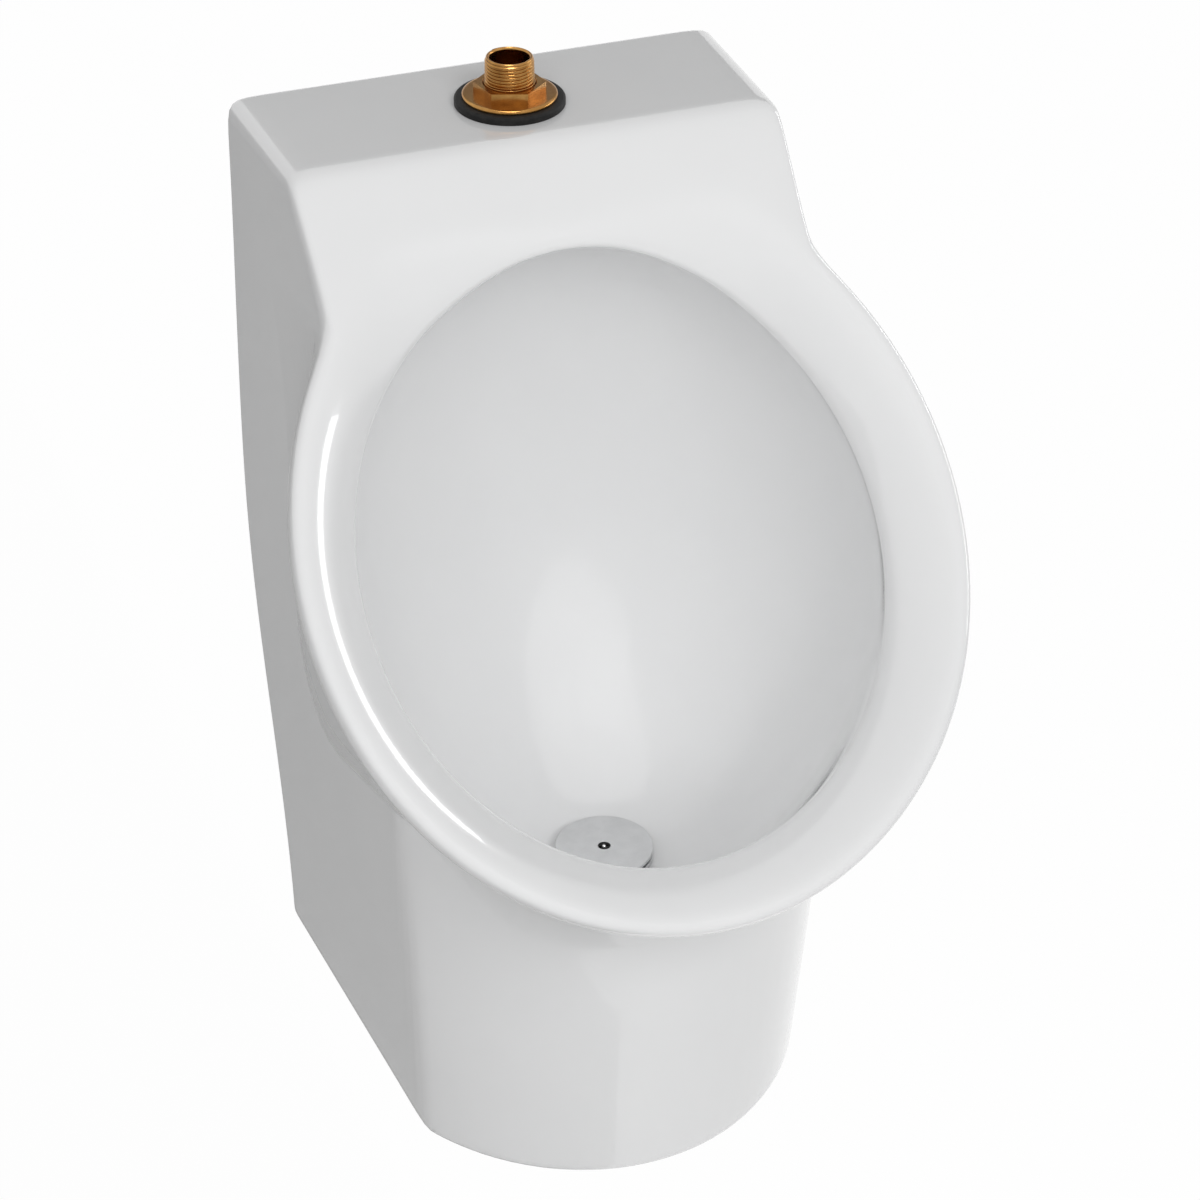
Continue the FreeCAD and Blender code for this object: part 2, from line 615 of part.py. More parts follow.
def addRing(label, outer, inner, thick, lift=None):
    body = addBody(label)
    sketch = addSketch(body, "XY_Plane", label + "_outline", lift)
    drawCircle(sketch, outer)
    drawCircle(sketch, inner)
    addPad(body, sketch, thick, label + "_pad")
    return body


# Inlet: gasket, washer, locknut and threaded tube, stacked on the top.
def placeInlet(body):
    place(body, None, "-Sizes.spud_inset", "Sizes.china_top", 0)


nutFoot = "(Sizes.gasket_thick + Sizes.washer_thick)"
nutHead = "(Sizes.gasket_thick + Sizes.washer_thick + Sizes.nut_high)"
sleeveIn = "(Sizes.tube_radius + Sizes.tube_play)"
sleeveOut = "(Sizes.spud_hole - Sizes.gasket_play)"

gasket = addBody("spud_gasket")
addTurned(gasket, [
    (sleeveIn, "-Sizes.top_wall"),
    (sleeveOut, "-Sizes.top_wall"),
    (sleeveOut, "0"),
    ("Sizes.gasket_radius", "0"),
    ("Sizes.gasket_radius", "Sizes.gasket_thick - Sizes.gasket_bevel"),
    ("Sizes.gasket_radius - Sizes.gasket_bevel", "Sizes.gasket_thick"),
    (sleeveIn, "Sizes.gasket_thick"),
], "gasket_turned")
placeInlet(gasket)

washer = addRing("spud_washer", "Sizes.washer_radius", sleeveIn, "Sizes.washer_thick", "Sizes.gasket_thick")
placeInlet(washer)

locknut = addBody("spud_locknut")
hexagon = addSketch(locknut, "XY_Plane", "locknut_outline", nutFoot)
drawHexagon(hexagon, "Sizes.nut_flats", "Sizes.nut_turn")
drawCircle(hexagon, "Sizes.tube_radius + Sizes.nut_play")
addPad(locknut, hexagon, "Sizes.nut_high", "locknut_pad")
placeInlet(locknut)

threadFoot = nutHead + " + Sizes.thread_pitch * 0.3"
threadRadius = "Sizes.tube_radius - Sizes.thread_step"
tubeBody = addBody("spud_tube")
addTurned(tubeBody, [
    ("Sizes.tube_bore", "-Sizes.top_wall - Sizes.tube_flange_thick"),
    ("Sizes.tube_flange", "-Sizes.top_wall - Sizes.tube_flange_thick"),
    ("Sizes.tube_flange", "-Sizes.top_wall"),
    ("Sizes.tube_radius", "-Sizes.top_wall"),
    ("Sizes.tube_radius", threadFoot),
    (threadRadius, threadFoot),
    (threadRadius, "Sizes.tube_high - Sizes.tube_lip"),
    (threadRadius + " - Sizes.tube_lip", "Sizes.tube_high"),
    ("Sizes.tube_bore + Sizes.tube_lip / 2", "Sizes.tube_high"),
    ("Sizes.tube_bore", "Sizes.tube_high - Sizes.tube_lip / 2"),
], "tube_turned")
notch = addSketch(tubeBody, "XZ_Plane", "thread_outline")
drawOutline(notch, [
    ("Sizes.tube_radius + 0.2", nutHead + " + Sizes.thread_pitch * 0.58"),
    ("Sizes.tube_radius + 0.2", nutHead + " + Sizes.thread_pitch * 1.42"),
    (threadRadius + " - Sizes.thread_depth", nutHead + " + Sizes.thread_pitch"),
])
groove = tubeBody.newObject("PartDesign::Groove", "thread_groove")
groove.Profile = notch
groove.ReferenceAxis = (notch, ["V_Axis"])
groove.Angle = 360.0
notch.Visibility = False
turns = tubeBody.newObject("PartDesign::LinearPattern", "thread_turns")
turns.Originals = [groove]
turns.Direction = (notch, ["V_Axis"])
turns.setExpression("Length", "(Sizes.thread_turns - 1) * Sizes.thread_pitch")
turns.setExpression("Occurrences", "Sizes.thread_turns")
tubeBody.Tip = turns
placeInlet(tubeBody)


# Strainer: seal, base, plate and screw over the drain, and the crossbar below.
def placeDrain(body):
    place(body, None, "-Sizes.drain_inset", "Sizes.drain_floor", 0)


baseHead = "(Sizes.seal_thick + Sizes.base_thick)"
plateFoot = "(Sizes.seal_thick + Sizes.base_thick + Sizes.slit_high)"
plateHead = "(Sizes.seal_thick + Sizes.base_thick + Sizes.slit_high + Sizes.plate_thick)"
screwHead = "(Sizes.seal_thick + Sizes.base_thick + Sizes.screw_head_high)"
bridgeFoot = "(Sizes.throat_length + Sizes.bridge_thick)"

seal = addRing("strainer_seal", "Sizes.base_radius - 0.5", "Sizes.seal_inner", "Sizes.seal_thick")
placeDrain(seal)

base = addRing("strainer_base", "Sizes.base_radius", "Sizes.base_inner", "Sizes.base_thick",
               "Sizes.seal_thick")
arms = addSketch(base, "XY_Plane", "arms_outline", "Sizes.seal_thick")
drawOutline(arms, [
    ("-Sizes.base_inner - 1", "-Sizes.base_arm / 2"),
    ("Sizes.base_inner + 1", "-Sizes.base_arm / 2"),
    ("Sizes.base_inner + 1", "Sizes.base_arm / 2"),
    ("-Sizes.base_inner - 1", "Sizes.base_arm / 2"),
])
addPad(base, arms, "Sizes.base_thick", "arms_pad")
hub = addSketch(base, "XY_Plane", "hub_outline", "Sizes.seal_thick")
drawCircle(hub, "Sizes.base_hub")
addPad(base, hub, "Sizes.base_thick", "hub_pad")
hole = addSketch(base, "XY_Plane", "hub_hole_outline", baseHead)
drawCircle(hole, "Sizes.screw_shank + Sizes.screw_play")
addPocket(base, hole, "Sizes.base_thick + 1", "hub_hole")
post = addSketch(base, "XY_Plane", "post_outline", baseHead)
drawCircle(post, "Sizes.post_radius", "Sizes.post_circle")
postPad = addPad(base, post, "Sizes.slit_high", "post_pad")
posts = base.newObject("PartDesign::PolarPattern", "posts")
posts.Originals = [postPad]
posts.Axis = (post, ["N_Axis"])
posts.Angle = 360.0
posts.setExpression("Occurrences", "Sizes.post_count")
base.Tip = posts
placeDrain(base)

plate = addBody("strainer_plate")
addTurned(plate, [
    ("Sizes.plate_hole", plateFoot),
    ("Sizes.plate_radius", plateFoot),
    ("Sizes.plate_radius", plateHead + " - Sizes.plate_round"),
    ("Sizes.plate_radius - Sizes.plate_round", plateHead),
    ("Sizes.plate_hole + Sizes.plate_round", plateHead),
    ("Sizes.plate_hole", plateHead + " - Sizes.plate_round"),
], "plate_turned")
placeDrain(plate)

screw = addBody("strainer_screw")
addTurned(screw, [
    ("0", "-" + bridgeFoot + " - Sizes.screw_tail"),
    ("Sizes.screw_shank - 0.4", "-" + bridgeFoot + " - Sizes.screw_tail"),
    ("Sizes.screw_shank", "-" + bridgeFoot + " - Sizes.screw_tail + 0.8"),
    ("Sizes.screw_shank", baseHead),
    ("Sizes.screw_head", baseHead),
    ("Sizes.screw_head", screwHead + " - 1.4"),
    ("Sizes.screw_head * 0.78", screwHead + " - 0.4"),
    ("Sizes.screw_head * 0.4", screwHead),
    ("0", screwHead),
], "screw_turned")
slot = addSketch(screw, "XY_Plane", "slot_outline", screwHead)
drawOutline(slot, [
    ("-Sizes.screw_head - 1", "-Sizes.screw_slot / 2"),
    ("Sizes.screw_head + 1", "-Sizes.screw_slot / 2"),
    ("Sizes.screw_head + 1", "Sizes.screw_slot / 2"),
    ("-Sizes.screw_head - 1", "Sizes.screw_slot / 2"),
])
addPocket(screw, slot, "Sizes.screw_slot_deep", "screw_slot_cut")
placeDrain(screw)

bridge = addBody("strainer_bridge")
bar = addSketch(bridge, "XY_Plane", "bar_outline", "-" + bridgeFoot)
drawOutline(bar, [
    ("-Sizes.bridge_long / 2", "-Sizes.bridge_wide / 2"),
    ("Sizes.bridge_long / 2", "-Sizes.bridge_wide / 2"),
    ("Sizes.bridge_long / 2", "Sizes.bridge_wide / 2"),
    ("-Sizes.bridge_long / 2", "Sizes.bridge_wide / 2"),
])
drawCircle(bar, "Sizes.screw_shank + Sizes.screw_play")
addPad(bridge, bar, "Sizes.bridge_thick", "bar_pad")
placeDrain(bridge)

# Outlet: gasket, flange and two bolts. Lengths run forward from the wall.
flangeBack = "(Sizes.outlet_inset - Sizes.outlet_gasket_thick - Sizes.flange_thick)"
flangeFront = "(Sizes.outlet_inset - Sizes.outlet_gasket_thick)"
lugFront = "(Sizes.outlet_inset + Sizes.lug_thick)"
washerFront = "(Sizes.outlet_inset + Sizes.lug_thick + Sizes.bolt_washer_thick)"

outletGasket = addRing("outlet_gasket", "Sizes.outlet_gasket_radius", "Sizes.outlet_gasket_bore",
                       "Sizes.outlet_gasket_thick", flangeFront)
place(outletGasket, None, None, None, 90)

flange = addBody("outlet_flange")
disc = addSketch(flange, "XY_Plane", "flange_outline", flangeBack)
drawCircle(disc, "Sizes.flange_radius")
addPad(flange, disc, "Sizes.flange_thick", "flange_pad")
ears = addSketch(flange, "XY_Plane", "ears_outline", flangeBack)
drawOutline(ears, [
    ("-Sizes.outlet_bolt_gap", "-Sizes.flange_ear"),
    ("Sizes.outlet_bolt_gap", "-Sizes.flange_ear"),
    ("Sizes.outlet_bolt_gap", "Sizes.flange_ear"),
    ("-Sizes.outlet_bolt_gap", "Sizes.flange_ear"),
])
addPad(flange, ears, "Sizes.flange_thick", "ears_pad")
for name, spot in (("left", "-Sizes.outlet_bolt_gap"), ("right", "Sizes.outlet_bolt_gap")):
    ear = addSketch(flange, "XY_Plane", "ear_outline_" + name, flangeBack)
    drawCircle(ear, "Sizes.flange_ear", spot)
    addPad(flange, ear, "Sizes.flange_thick", "ear_pad_" + name)
neck = addSketch(flange, "XY_Plane", "neck_outline")
drawCircle(neck, "Sizes.flange_hub")
addPad(flange, neck, flangeBack + " + 1", "neck_pad")
water = addSketch(flange, "XY_Plane", "water_outline", flangeFront)
drawCircle(water, "Sizes.flange_water")
addPocket(flange, water, flangeFront + " + 1", "water_cut")
thread = addSketch(flange, "XY_Plane", "pipe_outline", "Sizes.flange_thread")
drawCircle(thread, "Sizes.flange_bore")
addPocket(flange, thread, "Sizes.flange_thread + 1", "pipe_cut")
for name, spot in (("left", "-Sizes.outlet_bolt_gap"), ("right", "Sizes.outlet_bolt_gap")):
    hole = addSketch(flange, "XY_Plane", "bolt_hole_outline_" + name, flangeFront)
    drawCircle(hole, "Sizes.flange_bolt_hole", spot)
    addPocket(flange, hole, "Sizes.flange_thick + 2", "bolt_hole_" + name)
place(flange, None, None, None, 90)

for name, spot in (("left", "-Sizes.outlet_bolt_gap"), ("right", "Sizes.outlet_bolt_gap")):
    bolt = addBody("outlet_bolt_" + name)
    head = addSketch(bolt, "XY_Plane", "bolt_head_outline_" + name, flangeBack + " - Sizes.bolt_head")
    drawHexagon(head, "Sizes.bolt_flats", "0")
    addPad(bolt, head, "Sizes.bolt_head", "bolt_head_pad_" + name)
    shank = addSketch(bolt, "XY_Plane", "bolt_shank_outline_" + name, flangeBack + " - 1")
    drawCircle(shank, "Sizes.bolt_radius")
    reach = washerFront + " + Sizes.bolt_nut_high + Sizes.bolt_tail - " + flangeBack + " + 1"
    addPad(bolt, shank, reach, "bolt_shank_pad_" + name)
    place(bolt, spot, None, None, 90)

    boltWasher = addRing("outlet_washer_" + name, "Sizes.bolt_washer_radius",
                         "Sizes.bolt_radius + Sizes.bolt_washer_play", "Sizes.bolt_washer_thick", lugFront)
    place(boltWasher, spot, None, None, 90)

    boltNut = addBody("outlet_nut_" + name)
    nutOutline = addSketch(boltNut, "XY_Plane", "bolt_nut_outline_" + name, washerFront)
    drawHexagon(nutOutline, "Sizes.bolt_nut_flats", "15")
    drawCircle(nutOutline, "Sizes.bolt_radius + Sizes.bolt_nut_play")
    addPad(boltNut, nutOutline, "Sizes.bolt_nut_high", "bolt_nut_pad_" + name)
    place(boltNut, spot, None, None, 90)

# Wall hangers: a screwed sheet with a hook that carries the china's lip.
for name, spot in (("left", "-Sizes.hanger_gap"), ("right", "Sizes.hanger_gap")):
    hanger = addBody("hanger_" + name)
    profile = addSketch(hanger, "YZ_Plane", "hanger_outline_" + name, "-Sizes.hanger_half")
    hookIn = "-Sizes.hanger_hook + Sizes.hanger_sheet"
    tongue = "Sizes.hanger_saddle + Sizes.hanger_tongue"
    drawOutline(profile, [
        ("0", "Sizes.hanger_foot"),
        ("0", "Sizes.hanger_head"),
        ("-Sizes.hanger_sheet", "Sizes.hanger_head"),
        ("-Sizes.hanger_sheet", "Sizes.hanger_saddle"),
        (hookIn, "Sizes.hanger_saddle"),
        (hookIn, tongue),
        ("-Sizes.hanger_hook", tongue),
        ("-Sizes.hanger_hook", "Sizes.hanger_saddle - Sizes.hanger_sheet"),
        ("-Sizes.hanger_sheet", "Sizes.hanger_saddle - Sizes.hanger_sheet"),
        ("-Sizes.hanger_sheet", "Sizes.hanger_foot"),
    ])
    addPad(hanger, profile, "Sizes.hanger_half * 2", "hanger_pad_" + name)
    for level, height in (("low", "Sizes.hanger_hole_low"), ("high", "Sizes.hanger_hole_high")):
        holeName = "hanger_hole_%s_%s" % (name, level)
        hole = addSketch(hanger, "XZ_Plane", holeName + "_outline", "Sizes.hanger_sheet + 1")
        drawCircle(hole, "Sizes.hanger_hole", "0", height)
        addPocket(hanger, hole, "Sizes.hanger_sheet + 2", holeName)
    place(hanger, spot, None, None, 0)

doc.recompute()

# Check every piece and write its file.
os.makedirs("parts", exist_ok=True)
pieces = [china] + [item for item in doc.Objects if item.TypeId == "PartDesign::Body"]
for item in doc.Objects:
    if "Invalid" in item.State or "Error" in item.State:
        raise RuntimeError("not built: " + item.Label)
for piece in pieces:
    shape = piece.Shape
    if shape.isNull() or not shape.isValid():
        raise RuntimeError("not valid: " + piece.Label)
    print(piece.Label, len(shape.Solids), round(shape.Volume / 1000.0, 2))
    shape.exportStep("parts/" + piece.Label + ".step")
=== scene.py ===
import bpy
import bmesh
import math
from mathutils import Matrix, Vector


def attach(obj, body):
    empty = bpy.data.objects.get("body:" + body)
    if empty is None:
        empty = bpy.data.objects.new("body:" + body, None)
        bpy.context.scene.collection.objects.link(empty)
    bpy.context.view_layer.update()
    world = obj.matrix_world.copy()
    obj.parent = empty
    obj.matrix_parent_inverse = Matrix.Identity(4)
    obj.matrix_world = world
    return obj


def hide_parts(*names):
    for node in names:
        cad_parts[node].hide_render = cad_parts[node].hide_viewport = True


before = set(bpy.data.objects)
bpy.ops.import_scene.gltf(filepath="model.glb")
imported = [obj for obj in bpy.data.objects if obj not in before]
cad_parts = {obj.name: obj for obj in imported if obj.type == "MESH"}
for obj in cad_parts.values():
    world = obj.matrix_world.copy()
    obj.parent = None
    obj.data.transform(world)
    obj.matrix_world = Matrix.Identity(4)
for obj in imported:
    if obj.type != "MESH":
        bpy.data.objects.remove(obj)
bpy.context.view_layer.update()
scene = bpy.context.scene
mm = 0.001


# camera
cameraSet = {
    "place": (-0.5054, -1.4927, 1.0864),
    "right": (0.9337, -0.3581, 0.0054),
    "up": (0.1929, 0.5153, 0.8350),
    "lens": 96.27,
    "sensor": 36.0,
}


def setCamera(values):
    data = bpy.data.cameras.new("camera")
    data.sensor_fit = "HORIZONTAL"
    data.sensor_width = values["sensor"]
    data.lens = values["lens"]
    camera = bpy.data.objects.new("camera", data)
    scene.collection.objects.link(camera)
    right = Vector(values["right"]).normalized()
    back = right.cross(Vector(values["up"])).normalized()
    turn = Matrix((right, back.cross(right), back)).transposed().to_4x4()
    camera.matrix_world = Matrix.Translation(values["place"]) @ turn
    scene.camera = camera


setCamera(cameraSet)
print("camera set")


# shader wiring
class Wire:
    def __init__(self, tree, socket=None):
        self.tree = tree
        self.socket = socket

    def node(self, kind, settings=None, inputs=None, out=0):
        made = self.tree.nodes.new("ShaderNode" + kind)
        for key, value in (settings or {}).items():
            if key == "stops":
                while len(made.color_ramp.elements) < len(value):
                    made.color_ramp.elements.new(0.5)
                for stop, (place, shade) in zip(made.color_ramp.elements, value):
                    stop.position = place
                    stop.color = (shade, shade, shade, 1)
            else:
                setattr(made, key, value)
        for key, value in (inputs or {}).items():
            if isinstance(value, Wire):
                self.tree.links.new(value.socket, made.inputs[key])
            else:
                made.inputs[key].default_value = value
        return Wire(self.tree, made.outputs[out])

    def maths(self, operation, first, second):
        return self.node("Math", {"operation": operation}, {0: first, 1: second})

    def __add__(self, other):
        return self.maths("ADD", self, other)

    def __rsub__(self, other):
        return self.maths("SUBTRACT", other, self)

    def __mul__(self, other):
        return self.maths("MULTIPLY", self, other)

    __radd__ = __add__
    __rmul__ = __mul__

    def shades(self, dark, light):
        pair = {"Factor": self, 6: (*dark, 1), 7: (*light, 1)}
        return self.node("Mix", {"data_type": "RGBA"}, pair, 2)

    def ramp(self, *stops):
        return self.node("ValToRGB", {"stops": stops}, {"Fac": self})


def newMaterial(name):
    material = bpy.data.materials.new(name)
    material.use_nodes = True
    shader = material.node_tree.nodes["Principled BSDF"]
    wire = Wire(material.node_tree)
    spot = wire.node("TexCoord", out=3)
    return material, shader, wire, spot


def feed(shader, name, value):
    if isinstance(value, Wire):
        value.tree.links.new(value.socket, shader.inputs[name])
    else:
        shader.inputs[name].default_value = value


def noise(wire, spot, scale, detail=2.0, rough=0.5):
    inputs = {"Vector": spot, "Scale": scale, "Detail": detail, "Roughness": rough}
    return wire.node("TexNoise", inputs=inputs)


def bump(wire, height, strength, distance=0.0002):
    return wire.node("Bump", inputs={"Height": height, "Strength": strength, "Distance": distance})


glaze = {
    "white": (0.91, 0.913, 0.916), "shade": (0.89, 0.894, 0.898),
    "raw": (0.66, 0.645, 0.61), "rawDark": (0.56, 0.545, 0.51),
    "cloud": 9.0, "speck": 420.0, "speckDark": 0.12, "grain": 160.0, "ripple": 34.0,
    "rough": 0.16, "roughRaw": 0.55, "roughCloud": 0.05, "coatRough": 0.02, "coatIor": 1.52,
    "bump": 0.05, "bumpHigh": 0.0012,
}


def glazeMaterial(values):
    material, shader, wire, spot = newMaterial("china_glaze")
    covered = wire.node("Attribute", {"attribute_name": "glaze"}, out=2)
    cloud = noise(wire, spot, values["cloud"], 3.0)
    speck = noise(wire, spot, values["speck"], 1.0).ramp((0.70, 0.0), (0.76, 1.0))
    clear = cloud.ramp((0.35, 0.0), (0.65, 1.0)) * (1 - speck * values["speckDark"])
    glazed = clear.shades(values["shade"], values["white"])
    grain = noise(wire, spot, values["grain"], 6.0, 0.6)
    raw = grain.shades(values["rawDark"], values["raw"])
    colour = wire.node("Mix", {"data_type": "RGBA"}, {"Factor": covered, 6: raw, 7: glazed}, 2)
    feed(shader, "Base Color", colour)
    bare = 1 - covered
    feed(shader, "Roughness", bare * values["roughRaw"] + values["rough"] + cloud * values["roughCloud"])
    feed(shader, "Coat Weight", covered)
    shader.inputs["Coat Roughness"].default_value = values["coatRough"]
    shader.inputs["Coat IOR"].default_value = values["coatIor"]
    ripple = noise(wire, spot, values["ripple"], 1.0)
    height = ripple * 0.7 + grain * bare * 0.5
    feed(shader, "Normal", bump(wire, height, values["bump"], values["bumpHigh"]))
    return material


# the china: one closed skin, drawn as rings that share the same columns
china = {
    "top": 390.0, "foot": -150.0, "depth": 101.0, "lean": 42.9,
    "rimHalf": 175.3, "rimCentre": 214.0, "rimUp": 200.0, "rimDown": 195.0, "rimThick": 16.0,
    "mouthHalf": 136.5, "mouthCentre": 215.0, "mouthLong": 156.0, "mouthRound": 8.0,
    "sinkTop": 2.5, "sinkGain": 26.0, "sinkTurn": 58.0, "crown": 1.5,
    "funnelTop": 14.0, "funnelEdge": 4.0, "funnelFrom": 4.0, "funnelRun": 56.0, "funnelMost": 40.0,
    "edgeRound": 7.0, "edgeBow": 0.18, "cornerRound": 10.0, "cornerPull": 0.19, "cornerHalf": 132.1,
    "waist": 130.6, "waistDown": 72.0, "backGain": 4.0, "backRound": 4.0, "backLip": 3.0,
    "skirtCentre": -136.0, "skirtHalf": 130.6, "skirtReach": 146.2, "skirtFlare": 0.00058,
    "skirtCorner": 31.2, "skirtTwist": 0.0137,
    "lapRun": 26.0, "lapTurn": 122.0, "lapTurnRun": 10.0,
    "flareBow": 1.8, "coveBow": 2.2, "coveCorner": 80.0, "coveFront": 20.0,
    "wall": 11.0, "bowlWall": 9.5, "panelFoot": 232.0, "panelCorner": (112.0, 128.0),
    "drainY": -197.6, "drainZ": 3.0, "seat": 30.0, "levels": 1,
}
flank = {  # half width at the wall, and how it narrows up, down and forwards
    "widest": 165.0, "half": 139.5, "lowLoss": 14.0, "lowRun": 330.0, "highLoss": 3.3, "highRun": 225.0,
    "taperFoot": 0.066, "taperTop": 0.040,
}
belly = {  # the swell under the rim, its edge on the flank and the rays that find that edge
    "swell": 4.0, "soft": 7.0, "head": 150.0, "fade": 60.0, "edge": 61.9, "edgeY": -145.8, "slope": 0.287,
    "square": 0.961, "back": 82.0, "turn": 50.0, "middle": (-190.0, 190.0), "far": 400.0, "shortest": 40.0,
    "aimFrom": 50.0, "aimTo": -108.0, "aimTurn": 44.0, "aimRun": 85.0,
}
bowl = {  # triples are for the top, the sides and the lip
    "deep": (87.0, 95.0, 46.0), "wide": (50.0, 6.0, 16.0), "floorSide": 70.0,
    "floorBack": (133.0, 20.0, -47.0), "floorHigh": (37.0, 12.0, 3.0), "middle": (0.0, -190.0, 150.0),
    "tuck": 9.0, "tuckFrom": 0.06, "tuckRun": 0.45, "tuckTurn": 2.3, "tuckFade": 0.9,
    "joinTop": 0.42, "joinSide": 0.58, "joinTurn": 1.57, "joinEnd": 0.97,
}
lean = math.radians(china["lean"])
faceTop = Vector((0, -china["depth"], china["top"]))
downFace = Vector((0, -math.sin(lean), -math.cos(lean)))
outFace = Vector((0, -math.cos(lean), math.sin(lean)))
across = Vector((1, 0, 0))
backward = Vector((0, 1, 0))


def mix(first, second, share):
    return first + (second - first) * share


def ease(share):
    share = min(max(share, 0.0), 1.0)
    return share * share * (3 - 2 * share)


def onFace(x, down, deep):
    return faceTop + downFace * down - outFace * deep + across * x


def wallHalf(z):
    low = flank["lowLoss"] * ease((flank["widest"] - z) / flank["lowRun"])
    high = flank["highLoss"] * ease((z - flank["widest"]) / flank["highRun"])
    return flank["half"] - low - high


def flankHalf(y, z):
    share = (z - china["foot"]) / (china["top"] - china["foot"])
    return wallHalf(z) + y * mix(flank["taperFoot"], flank["taperTop"], share)


def bellyRoom(y, z):  # how far inside the belly's outline a point of the flank is
    low = (belly["edge"] + belly["slope"] * (belly["edgeY"] - y) - z) * belly["square"]
    behind = y + belly["back"]
    turn = belly["turn"]
    return turn - math.hypot(max(low + turn, 0), max(behind + turn, 0))


def skirtPoint(share, z):  # share of the way from the skirt's corner to its front
    up = z - china["foot"]
    grow = 1 + china["skirtFlare"] * up
    angle = math.radians(mix(china["skirtCorner"] + china["skirtTwist"] * up, 90, share))
    x = china["skirtHalf"] * grow * math.cos(angle)
    return Vector((x, china["skirtCentre"] - china["skirtReach"] * grow * math.sin(angle), z))


# columns from the top's middle round the right side to the lip's middle
topColumns = (0, 24.5, 49, 80, 111, 122)  # x on the top's front edge
panelColumns = 4  # these run straight down to the back panel's lower edge
pocketColumns = 5  # these run straight past the hanger pockets
flankColumns = ((10, 380), (26, 364), (46, 344), (62, 328), (72, 316), (79, 306))  # way down the face, height
wallColumns = ((51, 294), (57, 270), (63, 244), (69.5, 214), (76, 182), (82, 148), (88, 112), (93.5, 74),
               (99, 34), (104, -8), (108.5, -52), (112.5, -96), (115.5, -130), (117.5, -145),
               (118.8, -150))  # angle on the rim, height at the wall
footColumns = ((120, -7), (122, -50), (124.5, -105), (126.8, -152), (129, -185))  # angle, y at the foot
skirtColumns = ((131.2, 0), (133.5, 0.05), (137, 0.14), (142, 0.26), (148, 0.39), (154.5, 0.53),
                (161, 0.66), (167.5, 0.78), (174, 0.89), (180, 1))  # angle, share round the skirt
mouthTurns = {"top": 34.0, "corner": 36.5, "flankHead": 38.5, "flankFoot": 52.0, "lead": 3.5}


class Column:
    def __init__(self, kind, edge, inward, end, mouthTurn):
        self.kind = kind
        self.into = across * -1
        self.open = None
        self.edge = edge
        self.end = end
        self.skirt = None
        self.turn = math.radians(mouthTurn)
        self.sunk = china["sinkTop"] + china["sinkGain"] * ease(mouthTurn / china["sinkTurn"])
        mouthX = china["mouthHalf"] * math.sin(self.turn)
        mouthDown = china["mouthCentre"] - china["mouthLong"] * math.cos(self.turn)
        self.mouth = onFace(mouthX, mouthDown, self.sunk)
        flatMouth = onFace(mouthX, mouthDown, 0)
        self.band = (flatMouth - edge).length
        self.inward = (flatMouth - edge).normalized() if inward is None else inward
        funnel = self.band - china["funnelEdge"]
        if kind != "rim":
            share = ease((mouthTurn - china["funnelFrom"]) / china["funnelRun"])
            funnel = mix(china["funnelTop"], funnel, share)
        self.funnel = min(funnel, china["funnelMost"])
        self.radial = across * math.sin(self.turn) - downFace * math.cos(self.turn)

    def onBand(self, far):
        share = max(0.0, (far - self.band + self.funnel) / self.funnel)
        spot = self.edge + (self.mouth - self.edge + outFace * self.sunk) * (far / self.band)
        return spot - outFace * (self.sunk * share ** china["crown"])


def makeColumns():
    columns = []
    top = china["top"]
    for x in topColumns:
        gain = china["backGain"] if x == topColumns[-1] else 0.0
        turn = mouthTurns["top"] * x / topColumns[-1]
        columns.append(Column("box", onFace(x, 0, 0), downFace, Vector((x + gain, 0, top)), turn))
        columns[-1].into = Vector((0, 0, -1))
    pull = china["cornerRound"] * china["cornerPull"]
    corner = onFace(china["cornerHalf"] - pull, pull / -downFace.z, 0)
    end = Vector((china["cornerHalf"] + china["backGain"] - pull, 0, top - pull))
    columns.append(Column("box", corner, None, end, mouthTurns["corner"]))
    columns[-1].into = Vector((-0.9, 0, -0.9))
    first, last = flankColumns[0][0], flankColumns[-1][0]
    for down, high in flankColumns:
        spot = onFace(0, down, 0)
        half = flankHalf(spot.y, spot.z) if down < china["waistDown"] else china["waist"]
        turn = mix(mouthTurns["flankHead"], mouthTurns["flankFoot"], (down - first) / (last - first))
        end = Vector((wallHalf(high), 0, high))
        columns.append(Column("box", spot + across * half, across * -1, end, turn))

    def rimEdge(angle):
        angle = math.radians(angle)
        reach = china["rimUp"] if math.cos(angle) > 0 else china["rimDown"]
        down = china["rimCentre"] - reach * math.cos(angle)
        return onFace(china["rimHalf"] * math.sin(angle), down, 0)

    for angle, high in wallColumns:
        turn = angle + mouthTurns["lead"] * max(0.0, 90 - angle) / (90 - wallColumns[0][0])
        columns.append(Column("rim", rimEdge(angle), None, Vector((wallHalf(high), 0, high)), turn))
    for angle, back in footColumns:
        end = Vector((flankHalf(back, china["foot"]), back, china["foot"]))
        columns.append(Column("rim", rimEdge(angle), None, end, angle))
    for angle, share in skirtColumns:
        column = Column("rim", rimEdge(angle), None, skirtPoint(share, china["foot"]), angle)
        column.skirt = share
        aim = math.radians(mix(china["skirtCorner"], 90, share))
        column.into = Vector((-math.cos(aim), math.sin(aim), 0))
        columns.append(column)

    # the closed panel's lower edge, from the middle to its corner
    closed = [column for column in columns if column.end.z > china["panelFoot"]]
    for index, column in enumerate(closed):
        share = (index - panelColumns) / (len(closed) - panelColumns)
        column.open = column.end.x if index < panelColumns else mix(*china["panelCorner"], share)
    return columns


def edgeRing(columns, size, before, after):  # round the front's outer edge
    ring = []
    for column in columns:
        ring.append(column.edge + column.inward * (size * before) + overEdge(column) * (size * after))
    return ring


